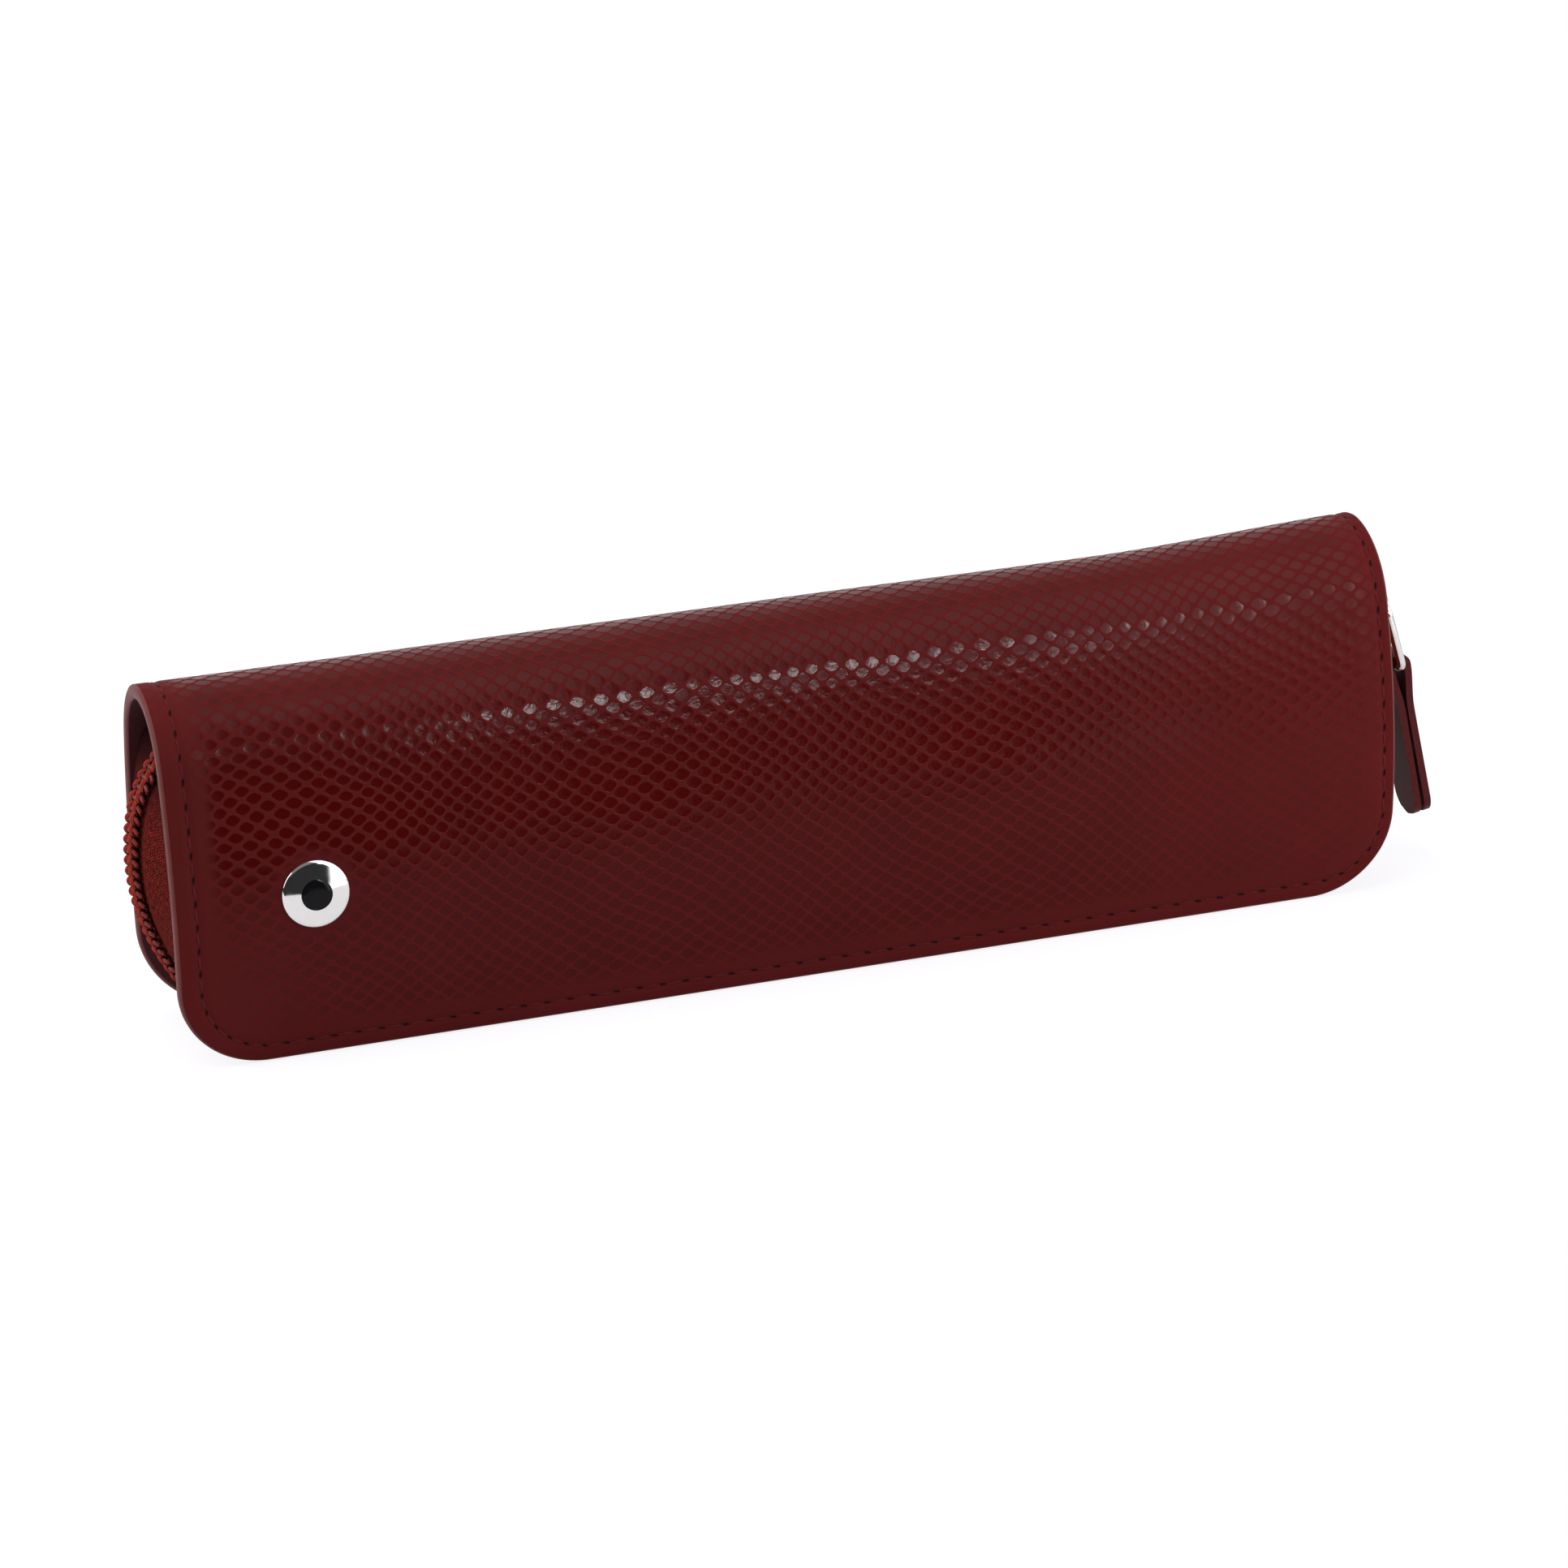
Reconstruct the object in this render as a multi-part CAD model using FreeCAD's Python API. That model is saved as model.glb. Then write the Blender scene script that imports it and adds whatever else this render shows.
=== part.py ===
import FreeCAD, Part
import math
import os

from FreeCAD import Vector

# Zipped pen case, in millimetres. It stands on the lower edges of its two walls with the spine up.
# X runs along the case, Y from front to back, and Z up.

# Case
CASE_LENGTH = 160.0
CASE_HEIGHT = 46.0
SPINE_RADIUS = 10.5
FLANK_RADIUS = 81.0
FLANK_TOP_LEAN = 14.35
FLANK_FOOT_LEAN = 9.6
FOLD_ANGLE = 45.0
CORNER_RADIUS = 11.0

# Layers of a wall, from the outside in
LEATHER = 1.0
BOARD = 0.4
LINING = 0.8
LINING_INSET = 0.3
BOARD_MARGIN = 7.0
BOARD_TOP = 35.0

# Zip: each end runs on a large arc, which bulges past the end of the walls, and curls in at its top.
# A curl is its first angle, its radius and its last angle.
ZIP_ARC_X = 53.8
ZIP_ARC_Z = 24.0
TAPE_FACE_RADIUS = 27.5
TAPE = 0.5
ZIP_CORNER_RADIUS = 8.5
ZIP_FOOT_Z = 2.7
LEFT_CURL = (12.0, 13.5, 58.0)
RIGHT_CURL = (33.5, 4.0, 75.0)
TAPE_GAP = 0.75
CHAIN_STRIP = 4.0
SEAM_INSET = 1.0
SEAM_Y = 11.0
SEAM_TOP = 39.0
LEFT_SEAM_BREAK = 28.0
RIGHT_SEAM_BREAK = 36.0

# Zip teeth
TOOTH_PITCH = 1.32
TOOTH_WIDTH = 0.56
TOOTH_TIP = 0.3
TOOTH_HEIGHT = 1.5
TOOTH_ROOT = 2.1
TOOTH_REACH = 0.45
TEETH_SETBACK = 2.4
STOP_SETBACK = 1.1
STOP_LENGTH = 1.6
STOP_HEIGHT = 1.1
STOP_WIDTH = 2.0

# Slider, in its own frame: radial distance from the arc's centre, distance along the zip, and Y
SLIDER_ANGLE = 24.0
SLIDER_HALF_LENGTH = 4.2
SLIDER_TAIL = 2.9
SLIDER_TAIL_CUT = 0.7
SLIDER_SHOULDER = 3.5
SLIDER_FLARE = (-1.4, 0.6)
SLIDER_NOSE = (1.4, 1.2)
SLIDER_SIDE = 0.6
SLIDER_INNER_FACE = 25.6
SLIDER_CHANNEL = (26.3, 29.25)
SLIDER_SLIT = (26.45, 27.95)
SLIDER_OUTER_FACE = 30.05
SLIDER_EDGE = 0.3
WEDGE_HALF = 0.6
WEDGE_TIP = 1.2
WEDGE_TAPER = 1.4
WEDGE_SETBACK = 0.5
BRIDGE_HALF_LENGTH = 2.7
BRIDGE_TOP = 32.6
BRIDGE_SHOULDER = 0.9
BRIDGE_WALL = 0.8
BRIDGE_HALF_WIDTH = 1.1

# Pull
LINK_WIRE = 1.2
LINK_HALF_WIDTH = 4.6
LINK_PIVOT = (31.0, -1.1)
LINK_FOOT = (84.9, 27.0)
STRAP_WIDTH = 6.0
STRAP_LEATHER = 0.95
STRAP_LOOP = 0.72
STRAP_WAIST = (0.16, 6.0)
STRAP_END = (0.24, 21.7)
STRAP_LEAN = 10.5
STRAP_CORNER = 2.7

# Emblem
EMBLEM_X = -62.5
EMBLEM_Z = 21.5
EMBLEM_RADIUS = 4.25
EMBLEM_FACE_Y = -13.4
EMBLEM_SEAT_Y = -12.4
EMBLEM_BEVEL = 0.3
EMBLEM_DOME = 0.34
INLAY_RADIUS = 2.0
INLAY_DEPTH = 0.5
STUD_RADIUS = 0.9
WASHER_RADIUS = 3.0
WASHER_Y = (-11.45, -11.05)

# Pen loops on the back lining
LOOP_HALF_LENGTH = 14.0
LOOP_LEATHER = 1.0
LOOP_INSIDE = 13.0
LOOP_LEG_Z = 7.5
LOOP_FRONT_Y = -3.0
LOOP_CORNER = 5.0
LOOP_FOOT = 3.0

FRONT = -1
BACK = 1
SQUARE_CORNERS = 1
WALL = LEATHER + LINING
ARCH_Z = CASE_HEIGHT - SPINE_RADIUS
SLIDER_TURN = FreeCAD.Rotation(Vector(0, 1, 0), -SLIDER_ANGLE)
LINK_TOP = Vector(ZIP_ARC_X, 0, ZIP_ARC_Z) + SLIDER_TURN.multVec(Vector(LINK_PIVOT[0], 0, LINK_PIVOT[1]))
LINK_BASE = Vector(LINK_FOOT[0], 0, LINK_FOOT[1])


def flat_solid(edges, along):
    """Closes a loop of edges with a face and carries the face along a vector."""
    return Part.Face(Part.Wire(edges)).extrude(along)


def lines_through(points):
    """Straight edges from each point to the next."""
    return [Part.makeLine(a, b) for a, b in zip(points, points[1:])]


def arc_about(centre, radius, first, last, y=0.0):
    """Arc in an XZ plane between two angles in degrees from +X towards +Z."""
    places = []
    for angle in (first, (first + last) / 2, last):
        turn = math.radians(angle)
        places.append(Vector(centre[0] + radius * math.cos(turn), y, centre[1] + radius * math.sin(turn)))
    return Part.Arc(*places).toShape()


def wall_point(radius, centre, side, angle):
    """Point of a wall's section at an angle in degrees from straight up, towards its own side."""
    turn = math.radians(angle)
    return Vector(0, centre[0] + side * radius * math.sin(turn), centre[1] + radius * math.cos(turn))


def wall_edges(depth, side, top_angle=FOLD_ANGLE):
    """Section of one wall at a depth below the leather's face: arch, bulging flank and straight foot."""
    arch_end = 90.0 - FLANK_TOP_LEAN
    flank_end = 90.0 + FLANK_FOOT_LEAN
    arch_centre = (0.0, ARCH_Z)
    middle = wall_point(SPINE_RADIUS - FLANK_RADIUS, arch_centre, side, arch_end)
    flank_centre = (middle.y, middle.z)
    arch = SPINE_RADIUS - depth
    flank = FLANK_RADIUS - depth
    arch_angles = (top_angle, (top_angle + arch_end) / 2, arch_end)
    flank_angles = (arch_end, (arch_end + flank_end) / 2, flank_end)
    arch_points = [wall_point(arch, arch_centre, side, a) for a in arch_angles]
    flank_points = [wall_point(flank, flank_centre, side, a) for a in flank_angles]
    foot_top = flank_points[2]
    lean = math.tan(math.radians(FLANK_FOOT_LEAN))
    foot = Vector(0, foot_top.y - side * foot_top.z * lean, 0)
    return [
        Part.Arc(*arch_points).toShape(),
        Part.Arc(*flank_points).toShape(),
        Part.makeLine(foot_top, foot),
    ]


def ends_of(edges):
    """First and last point of a run of edges."""
    return edges[0].valueAt(edges[0].FirstParameter), edges[-1].valueAt(edges[-1].LastParameter)


def wall_layer(outer_depth, inner_depth, side):
    """One layer of a wall between two depths, as long as the case."""
    outer = wall_edges(outer_depth, side)
    inner = wall_edges(inner_depth, side)
    outer_ends = ends_of(outer)
    inner_ends = ends_of(inner)
    caps = [Part.makeLine(outer_ends[0], inner_ends[0]), Part.makeLine(outer_ends[1], inner_ends[1])]
    loop = Part.__sortEdges__(outer + inner + caps)
    layer = flat_solid(loop, Vector(CASE_LENGTH, 0, 0))
    layer.translate(Vector(-CASE_LENGTH / 2, 0, 0))
    return layer


def outline_block(inset, top):
    """Block with a wall's outline in side view: square at the top, with two round corners at the foot."""
    half = CASE_LENGTH / 2 - inset
    radius = CORNER_RADIUS - inset
    near = half - radius
    level = inset + radius
    frame = [(-half, level), (-half, top), (half, top), (half, level)]
    edges = lines_through([Vector(x, 0, z) for x, z in frame])
    edges.append(arc_about((near, level), radius, 0, -90))
    edges.append(Part.makeLine(Vector(near, 0, inset), Vector(-near, 0, inset)))
    edges.append(arc_about((-near, level), radius, -90, -180))
    depth = 2 * CASE_HEIGHT
    block = flat_solid(edges, Vector(0, depth, 0))
    block.translate(Vector(0, -depth / 2, 0))
    return block


def spine_layer(outer_depth, inner_depth):
    """One layer of the spine: a strip of the arch between the two folds."""
    arcs = []
    for depth in (outer_depth, inner_depth):
        radius = SPINE_RADIUS - depth
        places = [wall_point(radius, (0.0, ARCH_Z), BACK, a) for a in (-FOLD_ANGLE, 0.0, FOLD_ANGLE)]
        arcs.append(Part.Arc(*places).toShape())
    outer_ends = ends_of(arcs[:1])
    inner_ends = ends_of(arcs[1:])
    caps = lines_through([outer_ends[0], inner_ends[0]]) + lines_through([outer_ends[1], inner_ends[1]])
    strip = flat_solid(Part.__sortEdges__(arcs + caps), Vector(CASE_LENGTH, 0, 0))
    strip.translate(Vector(-CASE_LENGTH / 2, 0, 0))
    return strip


def room_inside():
    """Space between the two linings, carried past both ends of the case."""
    length = CASE_LENGTH + 4 * CORNER_RADIUS
    front = wall_edges(WALL, FRONT, 0.0)
    back = wall_edges(WALL, BACK, 0.0)
    floor = Part.makeLine(ends_of(front)[1], ends_of(back)[1])
    room = flat_solid(Part.__sortEdges__(front + back + [floor]), Vector(length, 0, 0))
    room.translate(Vector(-length / 2, 0, 0))
    return room


def cylinder_along_y(radius, first_y, last_y, x, z):
    """Round bar along Y."""
    return Part.makeCylinder(radius, last_y - first_y, Vector(x, first_y, z), Vector(0, 1, 0))


def zip_corner():
    """Centre of a lower corner arc of the zip, and the angle below level where the end arc meets it."""
    drop = ZIP_ARC_Z - ZIP_FOOT_Z - ZIP_CORNER_RADIUS
    reach = math.sqrt((TAPE_FACE_RADIUS - ZIP_CORNER_RADIUS) ** 2 - drop**2)
    return (ZIP_ARC_X + reach, ZIP_FOOT_Z + ZIP_CORNER_RADIUS), math.degrees(math.atan2(drop, reach))


def end_arcs(curl):
    """Arcs of the zip's right end from its foot up: centre, radius, first and last angle of each."""
    start, radius, top = curl
    corner, meet = zip_corner()
    turn = math.radians(start)
    inwards = TAPE_FACE_RADIUS - radius
    middle = (ZIP_ARC_X + inwards * math.cos(turn), ZIP_ARC_Z + inwards * math.sin(turn))
    return [
        (corner, ZIP_CORNER_RADIUS, -90.0, -meet),
        ((ZIP_ARC_X, ZIP_ARC_Z), TAPE_FACE_RADIUS, -meet, start),
        (middle, radius, start, top),
    ]


def zip_run():
    """The zip's run from its left top to its right top: arcs, with None for the straight foot."""
    left = [((-x, z), radius, 180 - last, 180 - first) for (x, z), radius, first, last in end_arcs(LEFT_CURL)]
    return left[::-1] + [None] + end_arcs(RIGHT_CURL)


def chain_edges(offset, y):
    """The zip's run, outwards by an offset from the tape's face."""
    corner_x = zip_corner()[0][0]
    foot = ZIP_FOOT_Z - offset
    edges = []
    for arc in zip_run():
        if arc is None:
            edges.append(Part.makeLine(Vector(-corner_x, y, foot), Vector(corner_x, y, foot)))
        else:
            centre, radius, first, last = arc
            edges.append(arc_about(centre, radius + offset, first, last, y))
    return edges


def seam_edges(offset, y):
    """The tape's sewn run inside the walls' edge, outwards by an offset from the tape's face."""
    half = CASE_LENGTH / 2 - SEAM_INSET + offset
    radius = CORNER_RADIUS - SEAM_INSET + offset
    near = CASE_LENGTH / 2 - CORNER_RADIUS
    level = CORNER_RADIUS
    foot = level - radius
    left = [Vector(-half, y, z) for z in (SEAM_TOP, LEFT_SEAM_BREAK, level)]
    right = [Vector(half, y, z) for z in (level, RIGHT_SEAM_BREAK, SEAM_TOP)]
    return [
        *lines_through(left),
        arc_about((-near, level), radius, 180, 270, y),
        Part.makeLine(Vector(-near, y, foot), Vector(near, y, foot)),
        arc_about((near, level), radius, -90, 0, y),
        *lines_through(right),
    ]


def ribbon_wire(run, y):
    """Closed section of the tape at one Y: its face, its underside, and a cap at each end."""
    face = run(0.0, y)
    under = run(-TAPE, y)
    face_ends = ends_of(face)
    under_ends = ends_of(under)
    caps = [Part.makeLine(face_ends[1], under_ends[1]), Part.makeLine(face_ends[0], under_ends[0])]
    return Part.Wire(Part.__sortEdges__(face + caps[:1] + under[::-1] + caps[1:]))


def zip_tape(side, room):
    """Half of the tape: a strip square to the chain, then a ruled web that slants to the sewn run."""
    width = Vector(0, side * (CHAIN_STRIP - TAPE_GAP), 0)
    strip = Part.Face(ribbon_wire(chain_edges, side * TAPE_GAP)).extrude(width)
    sections = [ribbon_wire(chain_edges, side * CHAIN_STRIP), ribbon_wire(seam_edges, side * SEAM_Y)]
    web = Part.makeLoft(sections, True, True)
    return strip.fuse(web.common(room)).removeSplitter()


def chain_place(distance):
    """Point of the zip's run at a distance from its left end, and the angle of the way outwards there."""
    corner_x = zip_corner()[0][0]
    for arc in zip_run():
        length = 2 * corner_x if arc is None else arc[1] * math.radians(arc[3] - arc[2])
        if distance <= length:
            break
        distance -= length
    if arc is None:
        return Vector(distance - corner_x, 0, ZIP_FOOT_Z), 270.0
    centre, radius, first, _ = arc
    angle = first + math.degrees(distance / radius)
    turn = math.radians(angle)
    return Vector(centre[0] + radius * math.cos(turn), 0, centre[1] + radius * math.sin(turn)), angle


def chain_length():
    """Length of the zip's run from one end of the tape to the other."""
    return sum(edge.Length for edge in chain_edges(0.0, 0.0))


def chain_directions(angle):
    """Unit vectors outwards from the zip's run and along it."""
    turn = math.radians(angle)
    return Vector(math.cos(turn), 0, math.sin(turn)), Vector(-math.sin(turn), 0, math.cos(turn))


def tooth(distance, side):
    """One tooth: a leg that tapers to its head, which reaches between the other row's teeth."""
    place, angle = chain_place(distance)
    outwards, along = chain_directions(angle)
    half = TOOTH_WIDTH / 2
    tip = TOOTH_TIP / 2
    plan = [(-tip, -TOOTH_REACH), (-half, TOOTH_ROOT), (half, TOOTH_ROOT), (tip, -TOOTH_REACH)]
    points = [place + along * step + Vector(0, side * y, 0) for step, y in plan]
    return Part.Face(Part.makePolygon(points + points[:1])).extrude(outwards * TOOTH_HEIGHT)


def teeth(side, first, last):
    """Row of teeth between two distances. The back row stands half a pitch on from the front row."""
    shift = TOOTH_PITCH / 2 if side == BACK else 0.0
    count = int(chain_length() / TOOTH_PITCH)
    places = [shift + number * TOOTH_PITCH for number in range(count)]
    return Part.makeCompound([tooth(place, side) for place in places if first <= place < last])


def zip_stops(side):
    """Two crimped stops on one tape, past both ends of its teeth."""
    stops = []
    for distance in (STOP_SETBACK, chain_length() - STOP_SETBACK):
        place, angle = chain_place(distance)
        outwards, along = chain_directions(angle)
        corner = place - along * (STOP_LENGTH / 2) + Vector(0, side * TAPE_GAP, 0)
        points = [corner, corner + along * STOP_LENGTH]
        points += [p + Vector(0, side * STOP_WIDTH, 0) for p in reversed(points)]
        stops.append(Part.Face(Part.makePolygon(points + points[:1])).extrude(outwards * STOP_HEIGHT))
    return Part.makeCompound(stops)


def slider_prism(plan, first, last):
    """Prism in the slider's frame: a plan of (distance along the zip, Y), between two radial distances."""
    points = [Vector(first, y, v) for v, y in plan]
    return Part.Face(Part.makePolygon(points + points[:1])).extrude(Vector(last - first, 0, 0))


def on_slider(shape):
    """Moves a shape from the slider's frame to its place on the right end's arc."""
    shape.rotate(Vector(0, 0, 0), Vector(0, 1, 0), -SLIDER_ANGLE)
    shape.translate(Vector(ZIP_ARC_X, 0, ZIP_ARC_Z))
    return shape


def mirrored_plan(half_plan):
    """Closed plan from the points on its +Y side, from the tail to the front."""
    return half_plan + [(v, -y) for v, y in reversed(half_plan)]


def slider_body():
    """Two plates held apart by a wedge at the front, with side walls that are slit for the tape."""
    half = SLIDER_HALF_LENGTH
    tail = SLIDER_TAIL
    wide = SLIDER_SHOULDER
    cut = SLIDER_TAIL_CUT
    flare, flared = SLIDER_FLARE
    nose, nose_cut = SLIDER_NOSE
    plan = [(-half, tail - cut), (-half + cut, tail), (flare, tail), (flared, wide)]
    plan += [(half - nose, wide), (half, wide - nose_cut)]
    body = slider_prism(mirrored_plan(plan), SLIDER_INNER_FACE, SLIDER_OUTER_FACE)
    rims = [e for e in body.Edges if abs(e.BoundBox.XMin - e.BoundBox.XMax) < 1e-6]
    body = body.makeChamfer(SLIDER_EDGE, rims)
    side = SLIDER_SIDE
    beyond = 2 * half
    channel = [(-beyond, tail - side), (flare, tail - side), (flared, wide - side), (beyond, wide - side)]
    body = body.cut(slider_prism(mirrored_plan(channel), *SLIDER_CHANNEL))
    slits = [(-beyond, beyond), (beyond, beyond)]
    body = body.cut(slider_prism(mirrored_plan(slits), *SLIDER_SLIT))
    wedge = [(WEDGE_TIP, 0.0), (WEDGE_TIP + WEDGE_TAPER, WEDGE_HALF), (half - WEDGE_SETBACK, WEDGE_HALF)]
    post = slider_prism(wedge + [(v, -y) for v, y in reversed(wedge[1:])], *SLIDER_CHANNEL)
    return on_slider(body.fuse(post).removeSplitter())


def slider_bridge():
    """Small arched bridge on the slider's outer plate, open across for the link's wire."""
    half = BRIDGE_HALF_LENGTH
    wall = BRIDGE_WALL
    base = SLIDER_OUTER_FACE
    shapes = []
    for inset, shoulder in ((0.0, BRIDGE_SHOULDER), (wall, BRIDGE_SHOULDER / 2)):
        top = BRIDGE_TOP - inset
        end = half - inset
        plan = [(base, -end), (top - shoulder, -end), (top, -end + shoulder)]
        both = plan + [(u, -v) for u, v in reversed(plan)]
        points = [Vector(u, -BRIDGE_HALF_WIDTH, v) for u, v in both]
        section = Part.Face(Part.makePolygon(points + points[:1]))
        shapes.append(section.extrude(Vector(0, 2 * BRIDGE_HALF_WIDTH, 0)))
    return on_slider(shapes[0].cut(shapes[1]))


def pull_link():
    """Round wire bent square into a closed rectangle. Its upper run turns in the slider's bridge."""
    radius = LINK_WIRE / 2
    side = Vector(0, LINK_HALF_WIDTH - radius, 0)
    path = [LINK_TOP, LINK_TOP + side, LINK_BASE + side, LINK_BASE - side, LINK_TOP - side, LINK_TOP]
    section = Part.Wire(Part.makeCircle(radius, LINK_TOP, Vector(0, 1, 0)))
    return Part.makePolygon(path).makePipeShell([section], True, False, SQUARE_CORNERS).removeSplitter()


def pull_strap():
    """Leather strip folded over the link's lower run: a loop at the top and two leaves below it."""
    waist, waist_drop = STRAP_WAIST
    gap, drop = STRAP_END
    leather = STRAP_LEATHER

    def fold(loop, at_waist, at_end):
        """Half circle over the wire, then two straight runs down each leaf."""
        left = [Vector(-at_end, 0, -drop), Vector(-at_waist, 0, -waist_drop), Vector(-loop, 0, 0)]
        right = [Vector(-p.x, 0, p.z) for p in reversed(left)]
        over = Part.Arc(left[2], Vector(0, 0, loop), right[0]).toShape()
        return lines_through(left) + [over] + lines_through(right)

    edges = fold(STRAP_LOOP + leather, waist + leather, gap + leather) + fold(STRAP_LOOP, waist, gap)
    for sign in (-1, 1):
        edges.append(Part.makeLine(Vector(sign * (gap + leather), 0, -drop), Vector(sign * gap, 0, -drop)))
    strap = flat_solid(Part.__sortEdges__(edges), Vector(0, STRAP_WIDTH, 0))
    strap.translate(Vector(0, -STRAP_WIDTH / 2, 0))
    corner = STRAP_CORNER
    for sign in (-1, 1):
        square = Part.makeBox(4 * corner, corner, corner, Vector(-2 * corner, 0, -drop))
        square.translate(Vector(0, sign * STRAP_WIDTH / 2 - (corner if sign > 0 else 0), 0))
        middle = Vector(-2 * corner, sign * (STRAP_WIDTH / 2 - corner), -drop + corner)
        strap = strap.cut(square.cut(Part.makeCylinder(corner, 4 * corner, middle, Vector(1, 0, 0))))
    strap.rotate(Vector(0, 0, 0), Vector(0, 1, 0), -STRAP_LEAN)
    strap.translate(LINK_BASE)
    return strap


def emblem_face_y(radius):
    """Y of the emblem's face, which is part of a ball, at a distance from its middle."""
    rim = EMBLEM_RADIUS - EMBLEM_BEVEL
    ball = (rim**2 + EMBLEM_DOME**2) / (2 * EMBLEM_DOME)
    return EMBLEM_FACE_Y + ball - math.sqrt(ball**2 - radius**2)


def emblem_disc():
    """Turned disc: domed face, bevelled rim, a shallow cup for the inlay, and a stud through the leather."""
    rim = EMBLEM_RADIUS - EMBLEM_BEVEL
    rim_y = emblem_face_y(rim)
    cup_y = EMBLEM_FACE_Y + INLAY_DEPTH
    stud_end = WASHER_Y[1]
    below = [
        (rim, rim_y), (EMBLEM_RADIUS, rim_y + EMBLEM_BEVEL), (EMBLEM_RADIUS, EMBLEM_SEAT_Y),
        (STUD_RADIUS, EMBLEM_SEAT_Y), (STUD_RADIUS, stud_end), (0.0, stud_end), (0.0, cup_y),
        (INLAY_RADIUS, cup_y), (INLAY_RADIUS, emblem_face_y(INLAY_RADIUS)),
    ]
    dome = [(r, emblem_face_y(r)) for r in (INLAY_RADIUS, (INLAY_RADIUS + rim) / 2, rim)]
    edges = lines_through([Vector(EMBLEM_X + r, y, EMBLEM_Z) for r, y in below])
    edges.append(Part.Arc(*[Vector(EMBLEM_X + r, y, EMBLEM_Z) for r, y in dome]).toShape())
    section = Part.Face(Part.Wire(Part.__sortEdges__(edges)))
    return section.revolve(Vector(EMBLEM_X, 0, EMBLEM_Z), Vector(0, 1, 0), 360)


def pen_loop_band(room):
    """One strip sewn to the back lining along three lines, which makes two loops for pens side by side."""
    leather = LOOP_LEATHER
    deep = SPINE_RADIUS + FLANK_RADIUS
    length = 2 * LOOP_HALF_LENGTH

    def tunnel(low, high, front, radius):
        """Block along X with its two front edges rounded."""
        block = Part.makeBox(length, deep, high - low, Vector(-LOOP_HALF_LENGTH, front, low))
        rounded = [e for e in block.Edges if e.BoundBox.YMax < front + 1e-6 and e.BoundBox.XLength > leather]
        return block.makeFillet(radius, rounded)

    band = None
    for number in range(2):
        low = LOOP_LEG_Z + number * (LOOP_INSIDE + leather)
        high = low + LOOP_INSIDE + 2 * leather
        loop = tunnel(low, high, LOOP_FRONT_Y - leather, LOOP_CORNER + leather)
        loop = loop.cut(tunnel(low + leather, high - leather, LOOP_FRONT_Y, LOOP_CORNER))
        band = loop if band is None else band.fuse(loop)
    skin = wall_layer(WALL, WALL + leather, BACK)
    top = LOOP_LEG_Z + 2 * (LOOP_INSIDE + leather)
    for low in (LOOP_LEG_Z + leather - LOOP_FOOT, top):
        foot = Part.makeBox(length, deep, LOOP_FOOT, Vector(-LOOP_HALF_LENGTH, 0, low))
        band = band.fuse(foot.common(skin))
    return band.common(room).removeSplitter()


def build():
    """All pieces by name, with the middle of the case at X = 0."""
    room = room_inside()
    outline = outline_block(0.0, CASE_HEIGHT)
    lining_outline = outline_block(LINING_INSET, CASE_HEIGHT)
    board_outline = outline_block(BOARD_MARGIN, BOARD_TOP)
    pieces = {}
    for name, side in (("back", BACK), ("front", FRONT)):
        board = wall_layer(LEATHER, LEATHER + BOARD, side).common(board_outline)
        pieces[name + "_leather"] = wall_layer(0.0, LEATHER, side).common(outline)
        pieces[name + "_board"] = board
        pieces[name + "_lining"] = wall_layer(LEATHER, WALL, side).common(lining_outline).cut(board)
        pieces[name + "_zip_tape"] = zip_tape(side, room)
        pieces[name + "_zip_stops"] = zip_stops(side)
    pieces["spine_leather"] = spine_layer(0.0, LEATHER)
    pieces["spine_lining"] = spine_layer(LEATHER, WALL)

    seat = cylinder_along_y(EMBLEM_RADIUS, 2 * EMBLEM_SEAT_Y, EMBLEM_SEAT_Y, EMBLEM_X, EMBLEM_Z)
    hole = cylinder_along_y(STUD_RADIUS, 2 * EMBLEM_SEAT_Y, WASHER_Y[1], EMBLEM_X, EMBLEM_Z)
    pocket = cylinder_along_y(WASHER_RADIUS, 2 * EMBLEM_SEAT_Y, WASHER_Y[1], EMBLEM_X, EMBLEM_Z)
    pieces["front_leather"] = pieces["front_leather"].cut(seat).cut(hole)
    pieces["front_board"] = pieces["front_board"].cut(pocket)
    pieces["front_lining"] = pieces["front_lining"].cut(pocket)
    pieces["emblem_disc"] = emblem_disc()
    pieces["emblem_inlay"] = cylinder_along_y(
        INLAY_RADIUS, emblem_face_y(INLAY_RADIUS), EMBLEM_FACE_Y + INLAY_DEPTH, EMBLEM_X, EMBLEM_Z
    )
    pieces["emblem_washer"] = cylinder_along_y(WASHER_RADIUS, *WASHER_Y, EMBLEM_X, EMBLEM_Z).cut(hole)

    arc_end = chain_length() - chain_edges(0.0, 0.0)[-1].Length
    run = arc_end - chain_edges(0.0, 0.0)[-2].Length
    wedge_angle = SLIDER_ANGLE + math.degrees(WEDGE_TIP / TAPE_FACE_RADIUS)
    last = arc_end - TAPE_FACE_RADIUS * math.radians(RIGHT_CURL[0] - wedge_angle) - TOOTH_WIDTH
    for name, side in (("back", BACK), ("front", FRONT)):
        pieces[name + "_zip_teeth"] = teeth(side, TEETH_SETBACK, run)
        pieces[name + "_zip_teeth_slider_run"] = teeth(side, run, last)

    pieces["slider_body"] = slider_body()
    pieces["slider_bridge"] = slider_bridge()
    pieces["pull_link"] = pull_link()
    pieces["pull_strap"] = pull_strap()
    pieces["pen_loop_band"] = pen_loop_band(room)
    return pieces


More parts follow.
